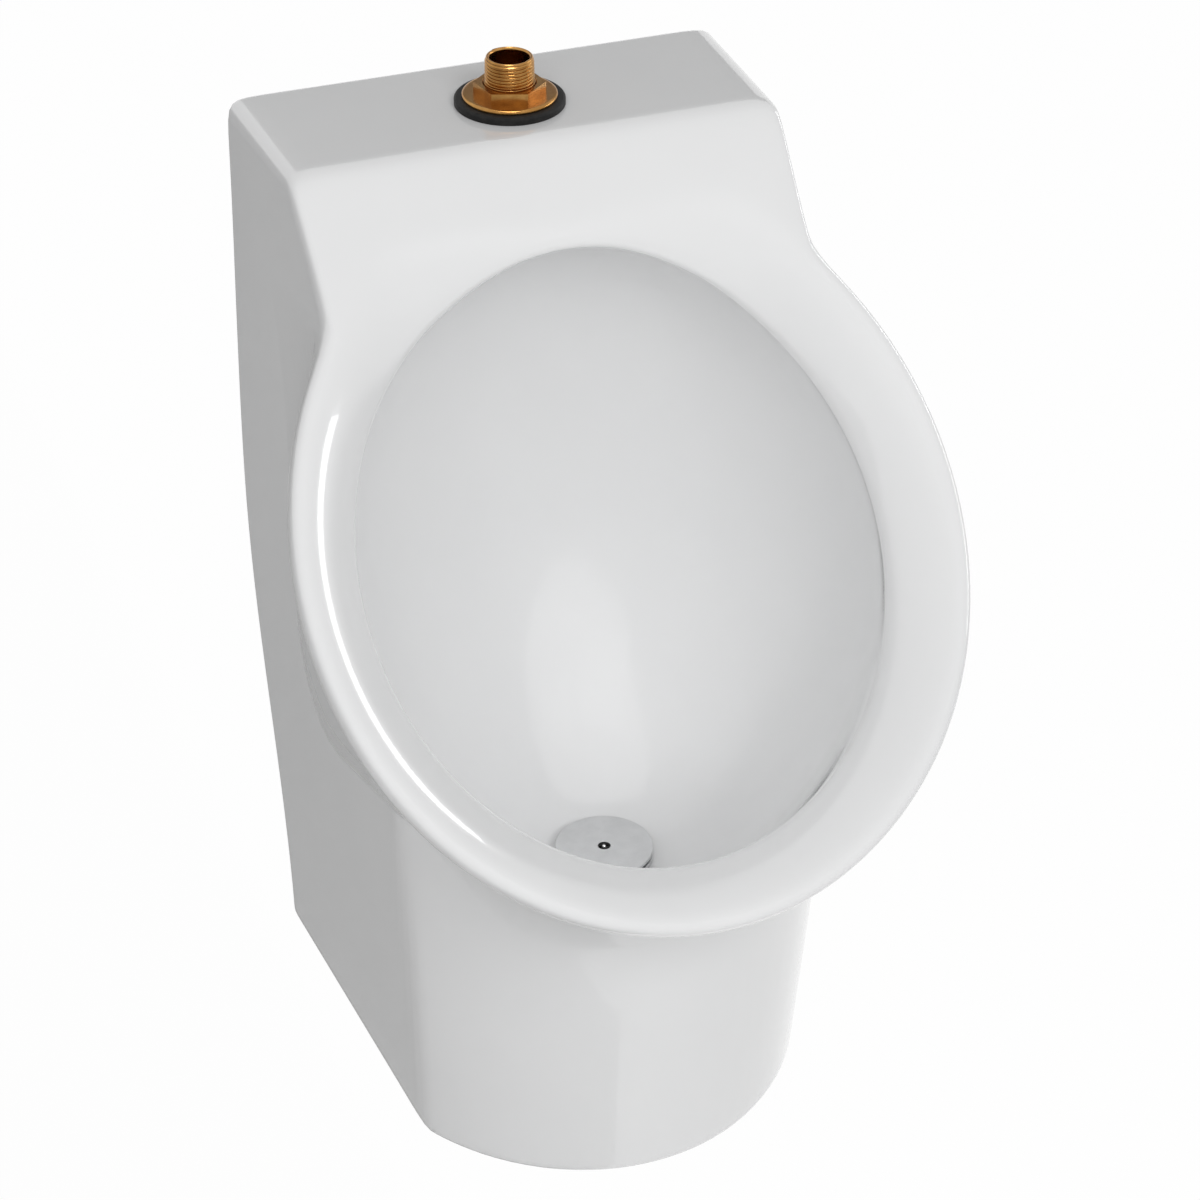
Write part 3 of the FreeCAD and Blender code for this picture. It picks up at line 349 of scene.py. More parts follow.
def overEdge(column):
    if column.kind == "rim":
        return outFace * -1
    return (column.end - column.edge).normalized()


def overhang(column):
    if column.kind != "rim":
        return 0.0
    if column.skirt is not None:
        return 1.0
    lap = ease((column.edge.x - flankHalf(column.edge.y, column.edge.z)) / china["lapRun"])
    return max(lap, ease((math.degrees(column.turn) - china["lapTurn"]) / china["lapTurnRun"]))


def rimRing(columns, deep, inset):
    ring = []
    for column in columns:
        if column.kind == "rim":
            spot = column.edge - outFace * deep + column.inward * (inset * overhang(column))
        else:
            spot = column.edge + overEdge(column) * (deep + inset)
        ring.append(spot)
    return ring


def bellyEdge(column):  # where the column crosses the belly's edge on the flank
    share = (math.degrees(column.turn) - belly["aimTurn"]) / belly["aimRun"]
    aim = math.radians(mix(belly["aimFrom"], belly["aimTo"], share))
    low, high = 0.0, belly["far"]
    for step in range(30):
        reach = (low + high) / 2
        y = belly["middle"][0] + reach * math.cos(aim)
        z = belly["middle"][1] + reach * math.sin(aim)
        if bellyRoom(y, z) > 0:
            low = reach
        else:
            high = reach
    return Vector((0, y, z))


def bodySpot(column, start, share):  # shares up to 1 lie under the rim, up to 2 on flank and skirt
    if column.kind == "box":
        return mix(start, column.end, share / 2)
    near, far = min(share, 1.0), max(share - 1.0, 0.0)
    if column.skirt is not None:
        low = mix(china["coveCorner"], china["coveFront"], ease(column.skirt * 2))
        z = mix(mix(start.z, low, near), china["foot"], far)
        shift = start - skirtPoint(column.skirt, start.z)
        shift.z = 0
        return skirtPoint(column.skirt, z) + shift * (1 - near) ** china["coveBow"]
    spot = mix(mix(start, column.cross, near), column.end, far)
    y, z = spot.y, spot.z
    head, fade = belly["head"], belly["fade"]
    swell = belly["swell"] * ease(bellyRoom(y, z) / belly["soft"]) * ease((head - z) / fade)
    spread = start.x - flankHalf(start.y, start.z) - belly["swell"] * ease((head - start.z) / fade)
    return Vector((flankHalf(y, z) + swell + spread * (1 - near) ** china["flareBow"], y, z))


def bowlSpot(column, share):
    cosine, sine = math.cos(column.turn), math.sin(column.turn)
    weights = (max(cosine, 0) ** 2, sine ** 2, max(-cosine, 0) ** 2)

    def weighed(name):
        return sum(value * weight for value, weight in zip(bowl[name], weights))

    drain = Vector((china["seat"] * sine, china["drainY"] + china["seat"] * cosine, china["drainZ"]))
    second = column.mouth - outFace * weighed("deep") + column.radial * weighed("wide")
    third = drain + Vector((bowl["floorSide"] * sine, weighed("floorBack"), weighed("floorHigh")))
    rest = 1 - share
    spot = (column.mouth * rest ** 3 + second * (3 * rest * rest * share)
            + third * (3 * rest * share * share) + drain * share ** 3)
    tuck = ease(share / bowl["tuckFrom"]) * (1 - ease((share - bowl["tuckFrom"]) / bowl["tuckRun"]))
    tuck = tuck * ease((bowl["tuckTurn"] - column.turn) / bowl["tuckFade"])
    return spot + column.radial * (bowl["tuck"] * tuck)


def circleRing(columns, radius, centre, along):
    upward = Vector((0, -along.z, along.y))
    ring = []
    for column in columns:
        ring.append(centre + (upward * math.cos(column.turn) + across * math.sin(column.turn)) * radius)
    return ring


pocket = {
    "left": 49.0, "right": 111.0, "top": 372.0, "saddle": 333.0, "foot": 262.0,
    "shallow": 3.6, "deep": 26.0, "draft": 0.4,
}
trap = {
    "bore": 20.5, "outer": 29.0, "bend": 38.0, "drop": -60.0, "start": -30.0, "face": -26.0,
    "lugHalf": 68.0, "lugHigh": 34.0, "lugThick": 14.0, "lugBow": 0.55,
}
drainBore = ((20.5, -24), (21.5, -22), (26, -21.5), (27, -20), (27, -10), (26, -8.5), (22, -8), (21, -6.5),
             (21, 1.0), (21.6, 2.8), (23.5, 3.0), (28, 3.0))  # radius, height
drainBoss = ((39, -5), (37.2, -9), (37, -26), (36, -29.5), (34, -30.5), (30.5, -31), (29.2, -34))
bowlShares = (0.985, 0.95, 0.90, 0.82, 0.72, 0.61, 0.50, 0.39, 0.28, 0.18, 0.10, 0.045)
rimSteps = ((-5.0, 0.0), (-0.9, 0.9), (0.0, 5.5), (3.0, 10.0))  # way past the rim's thickness, inset
bodySteps = ((0.2, 0), (0.45, 0), (0.72, 0), (1.0, -5.0), (1.0, 0.0), (1.0, 5.0), (1.16, 0), (1.45, 0),
             (1.75, 0), (1.92, 0))  # share, and mm beyond it
insideSteps = ((0.04, 0.0), (0.3, 0.0), (0.6, 0.0), (0.85, 0.35))  # share, blend into a straight line
glazeShares = {"waterway": 0.6, "backLip": 0.5, "outlet": 0.4, "panel": 0.25, "hidden": 0.2, "inside": 0.15}


def trapPath(values):
    bend, drainY = values["bend"], china["drainY"]
    stops = [(Vector((0, drainY, values["start"])), Vector((0, 0, -1)))]
    for turn in (0, 36, 72, 108, 144, 180):
        angle = math.radians(turn)
        y = drainY + bend - bend * math.cos(angle)
        spot = Vector((0, y, values["drop"] - bend * math.sin(angle)))
        stops.append((spot, Vector((0, math.sin(angle), -math.cos(angle)))))
    for turn in (0, 30, 60, 90):
        angle = math.radians(turn)
        y = drainY + 3 * bend - bend * math.cos(angle)
        spot = Vector((0, y, -bend + bend * math.sin(angle)))
        stops.append((spot, Vector((0, math.sin(angle), math.cos(angle)))))
    return stops


def lugRing(columns, half, high, y):
    bow = trap["lugBow"]
    ring = []
    for column in columns:
        sine, cosine = math.sin(column.turn), math.cos(column.turn)
        x = half * math.copysign(abs(sine) ** bow, sine)
        z = high * math.copysign(abs(cosine) ** bow, cosine)
        ring.append(Vector((x, y, z)))
    return ring


def chinaRings(columns):
    rings = []  # (places on the right half, share of glaze)

    def add(places, glazed=1.0):
        rings.append((places, glazed))

    drain = Vector((0, china["drainY"], 0))
    down = Vector((0, 0, -1))
    path = trapPath(trap)

    # waterway from the outlet up to the drain's seat
    for spot, along in reversed(path[1:]):
        add(circleRing(columns, trap["bore"], spot, along), glazeShares["waterway"])
    for radius, z in drainBore:
        add(circleRing(columns, radius, drain + Vector((0, 0, z)), down))

    # bowl, from the seat up to its mouth, then the band
    for share in bowlShares:
        add([bowlSpot(column, share) for column in columns])
    size, back = china["edgeRound"], china["mouthRound"]
    add([column.mouth - outFace * (back * 0.55) + column.radial * 1.6 for column in columns])
    add([mix(column.mouth, column.onBand(column.band - back), 0.12) - outFace * 1.0 for column in columns])
    for share in (1.0, 0.8, 0.6, 0.4, 0.2, 0.0):
        add([column.onBand(mix(size, column.band - back * 0.9, share)) for column in columns])

    # outer edge of the front and the rim's side
    add(edgeRing(columns, size, china["edgeBow"], china["edgeBow"]))
    add(edgeRing(columns, size, 0, 1))
    for beyond, inset in rimSteps:
        start = rimRing(columns, china["rimThick"] + beyond, inset)
        add(start)

    # flanks, belly and skirt, down to the wall and the foot
    for column, spot in zip(columns, start):
        column.cross = bellyEdge(column)
        column.long = max((column.cross - spot).length, belly["shortest"])
    for part, beyond in bodySteps:
        ring = []
        for column, spot in zip(columns, start):
            ring.append(bodySpot(column, spot, part + beyond / column.long))
        add(ring)
    near = []
    for column, spot in zip(columns, start):
        last = bodySpot(column, spot, 1.96)
        near.append(column.end + (last - column.end).normalized() * china["backRound"])
    add(near)
    add([column.end.copy() for column in columns])

    # back face with its closed upper panel, then the edge of the opening
    lipRing = [column.end + column.into * china["backLip"] for column in columns]
    openRing = [openingSpot(column) for column in columns]
    add(lipRing, glazeShares["backLip"])
    head = china["top"] - china["backLip"]
    for high in (pocket["top"], pocket["saddle"], pocket["foot"]):
        share = (head - high) / (head - china["panelFoot"])
        ring = []
        for index, (lip, opening) in enumerate(zip(lipRing, openRing)):
            spot = mix(lip, opening, share)
            ring.append(Vector((lip.x, 0, high)) if index < pocketColumns else spot)
        add(ring, glazeShares["panel"])
    add(openRing, glazeShares["hidden"])

    # inside of the skirt, up to the bowl's back and down it to the drain
    joinRing = [bowlBack(column, joinShare(column)) for column in columns]
    for share, blend in insideSteps:
        ring = []
        for column, opening, join in zip(columns, openRing, joinRing):
            ring.append(mix(skirtInside(column, opening, join, share), mix(opening, join, share), blend))
        add(ring, glazeShares["inside"])
    add(joinRing, glazeShares["inside"])
    for share in (0.2, 0.45, 0.7, 0.9):
        ring = [bowlBack(column, mix(joinShare(column), bowl["joinEnd"], share)) for column in columns]
        add(ring, glazeShares["inside"])

    # drain boss, trap and outlet lugs
    for radius, z in drainBoss:
        add(circleRing(columns, radius, drain + Vector((0, 0, z)), down), glazeShares["hidden"])
    for spot, along in path[1:]:
        add(circleRing(columns, trap["outer"], spot, along), glazeShares["hidden"])
    face, half, high = trap["face"], trap["lugHalf"], trap["lugHigh"]
    back = face - trap["lugThick"]
    for radius, y in ((29, -50), (29.4, back - 3), (31, back - 0.4), (33, back)):
        add(circleRing(columns, radius, backward * y, backward), glazeShares["hidden"])
    lugSteps = ((4, back), (0.8, back + 0.8), (0, back + 4), (0, face - 4), (0.8, face - 0.8), (4, face))
    for inset, y in lugSteps:
        add(lugRing(columns, half - inset, high - inset, y), glazeShares["hidden"])
    for radius, y in ((24, face), (21.3, face), (trap["bore"], face - 1.5), (trap["bore"], face - 20)):
        add(circleRing(columns, radius, backward * y, backward), glazeShares["outlet"])
    add(*rings[0])
    return rings


def openingSpot(column):
    if column.open is not None:
        return Vector((column.open, 0, china["panelFoot"]))
    return column.end + column.into * china["wall"]


def joinShare(column):  # how far down the bowl's back the skirt's inside meets it
    return mix(bowl["joinTop"], bowl["joinSide"], ease(column.turn / bowl["joinTurn"]))


def bowlBack(column, share):
    spot = bowlSpot(column, share)
    return spot + (spot - Vector(bowl["middle"])).normalized() * china["bowlWall"]


def skirtInside(column, opening, join, share):
    if column.open is not None:
        return mix(opening, join, share)
    z = mix(opening.z, join.z, share)
    if column.skirt is not None:
        return skirtPoint(column.skirt, z) + column.into * china["wall"]
    y = mix(opening.y, join.y, share)
    return Vector((flankHalf(y, z) - china["wall"], y, z))


def fullRing(places):
    mirrored = [Vector((-spot.x, spot.y, spot.z)) for spot in places[-2:0:-1]]
    return [spot * mm for spot in list(places) + mirrored]


def growRing(shape, ring, places):
    count = len(ring)
    edges = [shape.edges.get((ring[index], ring[(index + 1) % count])) for index in range(count)]
    made = bmesh.ops.extrude_edge_only(shape, edges=edges)["geom"]
    fresh = {item for item in made if isinstance(item, bmesh.types.BMVert)}
    grown = []
    for vert, spot in zip(ring, places):
        partner = [edge.other_vert(vert) for edge in vert.link_edges if edge.other_vert(vert) in fresh][0]
        partner.co = spot
        grown.append(partner)
    return grown


def finishPiece(name, shape, material, body, node, levels=0):
    bmesh.ops.recalc_face_normals(shape, faces=shape.faces)
    mesh = bpy.data.meshes.new(name)
    shape.to_mesh(mesh)
    shape.free()
    for face in mesh.polygons:
        face.use_smooth = True
    piece = bpy.data.objects.new(name, mesh)
    scene.collection.objects.link(piece)
    mesh.materials.append(material)
    if levels:
        skin = piece.modifiers.new("smooth", "SUBSURF")
        skin.levels = levels
        skin.render_levels = levels
    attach(piece, body)
    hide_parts(node)
    return piece


def buildChina():
    columns = makeColumns()
    rings = chinaRings(columns)
    count = 2 * (len(columns) - 1)
    shape = bmesh.new()
    layer = shape.verts.layers.float.new("glaze")
    first = bmesh.ops.create_circle(shape, cap_ends=False, segments=count, radius=0.1)["verts"]
    for vert, spot in zip(first, fullRing(rings[0][0])):
        vert.co = spot
        vert[layer] = rings[0][1]
    ring = list(first)
    for half, glazed in rings[1:]:
        ring = growRing(shape, ring, fullRing(half))
        for vert in ring:
            vert[layer] = glazed
    bmesh.ops.remove_doubles(shape, verts=list(first) + ring, dist=1e-6)
    bmesh.ops.recalc_face_normals(shape, faces=shape.faces)
    cutPockets(shape)
    finishPiece("china", shape, glazeMaterial(glaze), "fixture", "china_body", china["levels"])


def cutPockets(shape):  # a shallow pocket for each hanger's sheet, with a deep one for its hook
    crease = shape.edges.layers.float.new("crease_edge")

    def within(face, side, depth, high):
        spot = face.calc_center_median() / mm
        level = abs(spot.y + depth) < 0.3 and pocket["foot"] < spot.z < high
        return level and pocket["left"] < spot.x * side < pocket["right"]

    depth = 0.0
    deepGain = pocket["deep"] - pocket["shallow"]
    for deeper, high in ((pocket["shallow"], pocket["top"]), (deepGain, pocket["saddle"])):
        for side in (-1, 1):
            faces = [face for face in shape.faces if within(face, side, depth, high)]
            cut = bmesh.ops.inset_region(shape, faces=faces, thickness=pocket["draft"] * mm,
                                         depth=-deeper * mm)
            for edge in {edge for wall in cut["faces"] for edge in wall.edges}:
                edge[crease] = 1.0
        depth += deeper


buildChina()
print("china built")


# metals and rubber
metals = {
    "inlet": {"light": (0.52, 0.285, 0.09), "dark": (0.34, 0.165, 0.045), "rough": 0.18, "lines": 0.10},
    "outlet": {"light": (0.68, 0.48, 0.20), "dark": (0.52, 0.34, 0.12), "rough": 0.30, "lines": 0.14},
    "strainer": {"light": (0.74, 0.745, 0.75), "dark": (0.68, 0.685, 0.69), "rough": 0.38, "lines": 0.06},
    # the screw's dark colour is painted shade for the drain hole, and its light colour is a painted glint on
    # the pin
    "screw": {"light": (0.92, 0.92, 0.92), "dark": (0.03, 0.03, 0.03), "rough": 0.2, "lines": 0.04},
}
rubber = {"light": (0.024, 0.023, 0.022), "dark": (0.010, 0.010, 0.010), "rough": 0.48, "shine": 0.2}
zinc = {"light": (0.66, 0.67, 0.68), "dark": (0.47, 0.48, 0.50), "rough": 0.34}


def axisReach(wire, spot, centre, mask):  # distance from the axis the piece was turned on
    moved = wire.node("VectorMath", {"operation": "SUBTRACT"}, {0: spot, 1: centre})
    flat = wire.node("VectorMath", {"operation": "MULTIPLY"}, {0: moved, 1: mask})
    return wire.node("VectorMath", {"operation": "LENGTH"}, {0: flat}, "Value")


def metalMaterial(name, values, centre, mask):
    material, shader, wire, spot = newMaterial(name)
    shader.inputs["Metallic"].default_value = 1.0
    tarnish = noise(wire, spot, 90.0, 4.0, 0.6).ramp((0.38, 0.0), (0.66, 1.0))
    lathe = axisReach(wire, spot, centre, mask) * 2600.0
    rings = wire.node("TexNoise", {"noise_dimensions": "1D"}, {"W": lathe, "Scale": 1.0, "Detail": 2.0})
    grain = noise(wire, spot, 900.0, 2.0)
    feed(shader, "Base Color", (tarnish * 0.75 + rings * 0.25).shades(values["dark"], values["light"]))
    feed(shader, "Roughness", rings * 0.10 + tarnish * -0.06 + values["rough"])
    feed(shader, "Normal", bump(wire, rings * 0.8 + grain * 0.2, values["lines"]))
    return material


def screwMaterial(values, centre, pin):  # painted near black as the drain hole's shade, with a painted glint: a bright pin in the middle of its head
    material, shader, wire, spot = newMaterial("screw_painted_shade_and_glint")
    shader.inputs["Metallic"].default_value = 1.0
    # painted glint: the pin in the middle is bright, and the rest of the head is painted near black as shade
    bare = wire.maths("LESS_THAN", axisReach(wire, spot, centre, (1, 1, 0)), pin * 1.05)
    grain = noise(wire, spot, 1200.0, 3.0)
    feed(shader, "Base Color", (bare * (0.85 + grain * 0.15)).shades(values["dark"], values["light"]))
    feed(shader, "Roughness", grain * 0.1 + values["rough"])
    feed(shader, "Normal", bump(wire, grain, values["lines"]))
    return material


def rubberMaterial(values):
    material, shader, wire, spot = newMaterial("rubber_black")
    dust = noise(wire, spot, 260.0, 5.0, 0.6)
    feed(shader, "Base Color", dust.ramp((0.45, 0.0), (0.75, 1.0)).shades(values["dark"], values["light"]))
    feed(shader, "Roughness", dust * 0.18 + values["rough"])
    shader.inputs["Specular IOR Level"].default_value = values["shine"]
    feed(shader, "Normal", bump(wire, noise(wire, spot, 1400.0, 3.0), 0.12))
    return material


def zincMaterial(values):
    material, shader, wire, spot = newMaterial("zinc_plate")
    shader.inputs["Metallic"].default_value = 1.0
    flake = wire.node("TexVoronoi", {}, {"Vector": spot, "Scale": 210.0}, 1)
    shade = wire.node("SeparateColor", {}, {0: flake}, 0)
    grain = noise(wire, spot, 700.0, 3.0)
    feed(shader, "Base Color", (shade * 0.7 + grain * 0.3).shades(values["dark"], values["light"]))
    feed(shader, "Roughness", shade * 0.12 + values["rough"])
    feed(shader, "Normal", bump(wire, grain, 0.06))
    return material


# small pieces: drawn in mm on their own axis, then set in the row frame
def rounded(outline, steps=3):
    points = []
    for index, (x, y, size) in enumerate(outline):
        here = Vector((x, y))
        before = Vector(outline[index - 1][:2]) - here
        after = Vector(outline[(index + 1) % len(outline)][:2]) - here
        reach = min(size, before.length * 0.45, after.length * 0.45)
        if reach < 0.01:
            points.append(here)
            continue
        first, last = here + before.normalized() * reach, here + after.normalized() * reach
        for step in range(steps + 1):
            share = step / steps
            points.append(first * (1 - share) ** 2 + here * (2 * share * (1 - share)) + last * share ** 2)
    return points


def spinOutline(outline, steps, closed=True):  # outline points are (radius, height, rounding)
    shape = bmesh.new()
    verts = [shape.verts.new((spot.x, 0, spot.y)) for spot in rounded(outline)]
    pairs = [(verts[index - 1], vert) for index, vert in enumerate(verts) if index or closed]
    edges = [shape.edges.new(pair) for pair in pairs]
    bmesh.ops.spin(shape, geom=verts + edges, cent=(0, 0, 0), axis=(0, 0, 1), angle=math.tau, steps=steps,
                   use_merge=True)
    bmesh.ops.remove_doubles(shape, verts=shape.verts[:], dist=0.002)
    bmesh.ops.recalc_face_normals(shape, faces=shape.faces[:])
    return shape


def flatRing(inner, outer, low, high, rounds, steps):  # rounds are for its four edges, from inside below
    corners = ((inner, low), (outer, low), (outer, high), (inner, high))
    return spinOutline([(*corner, size) for corner, size in zip(corners, rounds)], steps)


def ringShape(rings, closed=True):
    shape = bmesh.new()
    ring = bmesh.ops.create_circle(shape, cap_ends=False, segments=len(rings[0]), radius=1.0)["verts"]
    first = list(ring)
    for vert, spot in zip(ring, rings[0]):
        vert.co = spot
    for places in rings[1:]:
        ring = growRing(shape, ring, places)
    if closed:
        bmesh.ops.remove_doubles(shape, verts=first + ring, dist=0.002)
    else:
        for ends in (first, ring):
            edges = [shape.edges.get((vert, ends[index - 1])) for index, vert in enumerate(ends)]
            bmesh.ops.edgeloop_fill(shape, edges=edges)
    bmesh.ops.recalc_face_normals(shape, faces=shape.faces[:])
    return shape


def joinShape(shape, other, move=None):
    if move is not None:
        bmesh.ops.transform(other, matrix=move, verts=other.verts[:])
    mesh = bpy.data.meshes.new("joined")
    other.to_mesh(mesh)
    other.free()
    shape.from_mesh(mesh)
    bpy.data.meshes.remove(mesh)
    return shape


thread = {"sink": 0.25, "start": 0.15, "crestRound": 0.05, "crestHalf": 0.11, "footHalf": 0.48, "runOut": 0.6}


def threadShape(root, crest, pitch, low, high, taper=0.0, steps=48):
    turns = (high - low) / pitch
    count = int(turns * steps)
    foot = root - thread["sink"]
    rings = []
    for step in range(count + 1):
        share = step / count
        angle = math.tau * turns * share
        rise = ease(min(share, 1 - share) * turns / thread["runOut"])
        tip = mix(root - thread["start"], crest - taper * share, rise)
        side = Vector((math.cos(angle), math.sin(angle), 0))
        middle = low + (high - low) * share
        profile = ((foot, -thread["footHalf"]), (tip - thread["crestRound"], -thread["crestHalf"]), (tip, 0),
                   (tip - thread["crestRound"], thread["crestHalf"]), (foot, thread["footHalf"]))
        rings.append([side * far + Vector((0, 0, middle + pitch * part)) for far, part in profile])
    return ringShape(rings, False)


def hexShape(flats, turn, low, high, bore=0.0, chamfer=0.45, bevel=0.3, count=96):
    half = flats / 2

    def ring(far, z, rise=0.0):
        places = []
        for step in range(count):
            angle = math.tau * step / count
            off = math.degrees(angle) % 60
            reach = half / math.cos(math.radians(off - 60 if off > 30 else off))
            reach = min(reach, half * (1.137 if chamfer else 1.15))
            aim = angle + math.radians(turn)
            side = Vector((math.cos(aim), math.sin(aim), 0))
            places.append(side * min(reach, far) + Vector((0, 0, z + rise * (reach - half))))
        return places

    inset = half * 0.975 if chamfer else half * 2
    rings = [ring(inset, low), ring(half * 2, low + bevel, chamfer), ring(half * 2, high - bevel, -chamfer),
             ring(inset, high)]
    if not bore:
        return ringShape([ring(half * 0.4, low)] + rings + [ring(half * 0.4, high)], False)
    inner = [ring(bore + 0.7, high), ring(bore, high - 0.7), ring(bore, low + 0.7), ring(bore + 0.7, low)]
    return ringShape(rings + inner + [rings[0]])


def setPiece(node, shape, material, body, place, forward=False):
    turn = Matrix.Rotation(math.pi / 2, 4, "X") if forward else Matrix.Identity(4)
    move = Matrix.Translation(Vector(place) * mm) @ turn @ Matrix.Scale(mm, 4)
    bmesh.ops.transform(shape, matrix=move, verts=shape.verts[:])
    piece = finishPiece(node + "_look", shape, material, body, node)
    piece.data.set_sharp_from_angle(angle=math.radians(40))
    even = piece.modifiers.new("even", "WEIGHTED_NORMAL")
    even.keep_sharp = True


# inlet: gasket, washer, locknut and threaded tube
inlet = {
    "place": (0, -55.6, 390.0), "sleeve": 13.68, "sleeveOut": 18.2, "sleeveFoot": -12.0,
    "gasket": 28.9, "gasketHigh": 4.0, "washer": 24.85, "washerHigh": 6.2,
    "flats": 32.6, "turn": 10.6, "nutHigh": 11.8, "nutBore": 13.4,
    "tube": 13.33, "tubeHigh": 12.2, "bore": 10.3, "foot": -18.0, "tip": 26.0, "end": 12.15, "flange": 17.8,
    "root": 12.05, "crest": 12.98, "pitch": 1.814, "taper": 0.2, "threadLow": 11.9, "threadHigh": 25.2,
}


def buildInlet(values):
    place, sleeve, foot = values["place"], values["sleeve"], values["sleeveFoot"]
    brass = metalMaterial("brass_inlet", metals["inlet"], Vector(place) * mm, (1, 1, 0))
    black = rubberMaterial(rubber)
    wide, high, neck = values["gasket"], values["gasketHigh"], values["sleeveOut"]
    gasket = spinOutline([(sleeve, foot, 0.3), (neck, foot, 0.5), (neck, 0, 0), (wide, 0, 0.35),
                          (wide, high - 0.9, 0.5), (wide - 1.1, high, 0.5), (sleeve, high, 0.3)], 96)
    setPiece("spud_gasket", gasket, black, "fixture", place)
    wide, top = values["washer"], values["washerHigh"]
    washer = spinOutline([(sleeve, high, 0.2), (wide, high, 0.4), (wide, top - 0.5, 0.8),
                          (wide - 1.3, top, 0.8), (sleeve, top, 0.2)], 120)
    setPiece("spud_washer", washer, brass, "fixture", place)
    nut = hexShape(values["flats"], values["turn"], top, values["nutHigh"], values["nutBore"], 0.0)
    setPiece("spud_locknut", nut, brass, "spud_locknut", place)
    bore, root, end, tip = values["bore"], values["root"], values["end"], values["tip"]
    low, flange, tubeHalf, neck = values["foot"], values["flange"], values["tube"], values["tubeHigh"]
    tube = spinOutline([(bore, low, 0.4), (flange, low, 0.8), (flange, foot, 0.5), (tubeHalf, foot, 0.3),
                        (tubeHalf, neck, 0.2), (root, neck + 0.3, 0.2), (root, tip - 1.1, 0.2),
                        (end, tip - 0.9, 0.1), (end, tip - 0.45, 0.3), (end - 0.55, tip, 0.3),
                        (bore + 0.7, tip, 0.3), (bore, tip - 0.8, 0.3)], 96)
    joinShape(tube, threadShape(root, values["crest"], values["pitch"], values["threadLow"],
                                values["threadHigh"], values["taper"]))
    setPiece("spud_tube", tube, brass, "fixture", place)
    return black


blackRubber = buildInlet(inlet)
print("inlet built")


# strainer over the drain, with its screw
strainer = {
    "place": (0, -197.6, 3.0), "plate": 26.9, "plateFoot": 5.2, "plateHead": 7.0, "hole": 3.4,
    "baseFoot": 1.2, "baseHead": 3.2, "baseIn": 19.5, "hub": 6.0, "arm": 6.0, "armEdge": 0.4,
    "post": 1.6, "postCircle": 23.2, "posts": 6, "seal": 26.4, "sealIn": 22.0,
    "head": 2.9, "headHigh": 6.6, "slot": 0.9, "slotDeep": 1.0, "pin": 1.0, "pinRise": 0.5,
    "shank": 1.9, "tail": -20.0, "pitch": 0.8, "slack": 0.06,
}


def halfHead(values, side):
    half, slot = values["head"], values["slot"] / 2
    first = math.asin(slot / half)
    outline = []
    for step in range(21):
        angle = mix(first, math.pi - first, step / 20)
        outline.append(Vector((half * math.cos(angle), half * math.sin(angle), 0)))
    middle = Vector((0, half * 0.45, 0))
    foot, top = values["headHigh"] - values["slotDeep"] - 0.2, values["headHigh"]
    rings = []
    for scale, z in ((1.0, foot), (1.0, top - 0.75), (0.95, top - 0.4), (0.84, top - 0.12), (0.66, top)):
        ring = [middle + (spot - middle) * scale for spot in outline]
        rings.append([Vector((spot.x, max(spot.y, slot) * side, z)) for spot in ring])
    return ringShape(rings, False)


def strainerBase(values):
    wide, foot, top = values["plate"], values["baseFoot"], values["baseHead"]
    inner, hub, post = values["baseIn"], values["hub"], values["post"]
    base = flatRing(inner, wide, foot, top, (0.3, 0.3, 0.4, 0.4), 120)
    joinShape(base, flatRing(values["shank"] + values["slack"], hub, foot, top, (0.2, 0.3, 0.4, 0.2), 48))
    for side in (-1, 1):
        arm = bmesh.new()
        bmesh.ops.create_cube(arm, size=1.0)
        bmesh.ops.scale(arm, verts=arm.verts[:], vec=(inner - hub + 2, values["arm"], top - foot - 0.05))
        bmesh.ops.bevel(arm, geom=arm.edges[:], offset=values["armEdge"], offset_type="OFFSET",
                        affect="EDGES", segments=2, profile=0.5, material=-1)
        joinShape(base, arm, Matrix.Translation((side * (inner + hub) / 2, 0, (top + foot) / 2)))
    low, high = top - 0.1, values["plateFoot"] + 0.1
    for step in range(values["posts"]):
        angle = math.tau * step / values["posts"]
        made = spinOutline([(0, low, 0), (post + 0.3, low, 0.1), (post, top + 0.3, 0.3), (post, high, 0),
                            (0, high, 0)], 20, False)
        spot = Vector((math.cos(angle), math.sin(angle), 0)) * values["postCircle"]
        joinShape(base, made, Matrix.Translation(spot))
    return base


def strainerScrew(values):
    shank, tail, head, pin = values["shank"], values["tail"], values["head"], values["pin"]
    seat, top = values["baseHead"], values["headHigh"]
    floor, core = top - values["slotDeep"], shank - 0.25
    screw = spinOutline([(0, tail, 0), (core - 0.2, tail, 0.15), (core, tail + 0.7, 0.2), (core, seat, 0.2),
                         (head, seat, 0.3), (head, floor, 0), (0, floor, 0)], 40, False)
    joinShape(screw, threadShape(shank - 0.3, shank, values["pitch"], tail + 0.6, seat - 1.0, 0.0, 24))
    joinShape(screw, spinOutline([(0, floor, 0), (pin, floor, 0), (pin, top, 0.4),
                                  (0, top + values["pinRise"], 0)], 24, False))
    joinShape(screw, halfHead(values, 1))
    joinShape(screw, halfHead(values, -1))
    return screw


def buildStrainer(values):
    place = values["place"]
    steel = metalMaterial("steel_strainer", metals["strainer"], Vector(place) * mm, (1, 1, 0))
    plate = flatRing(values["hole"], values["plate"], values["plateFoot"], values["plateHead"],
                     (0.2, 0.3, 0.7, 0.5), 120)
    setPiece("strainer_plate", plate, steel, "strainer", place)
    setPiece("strainer_base", strainerBase(values), steel, "strainer", place)
    seal = flatRing(values["sealIn"], values["seal"], 0, values["baseFoot"], (0.3, 0.4, 0.4, 0.3), 96)
    setPiece("strainer_seal", seal, blackRubber, "strainer", place)
    # the screw is painted near black as the drain hole's shade, with a painted glint on its pin
    paintedShadeAndGlint = screwMaterial(metals["screw"], Vector(place) * mm, values["pin"] * mm)
    setPiece("strainer_screw", strainerScrew(values), paintedShadeAndGlint, "strainer_screw", place)


buildStrainer(strainer)
print("strainer built")


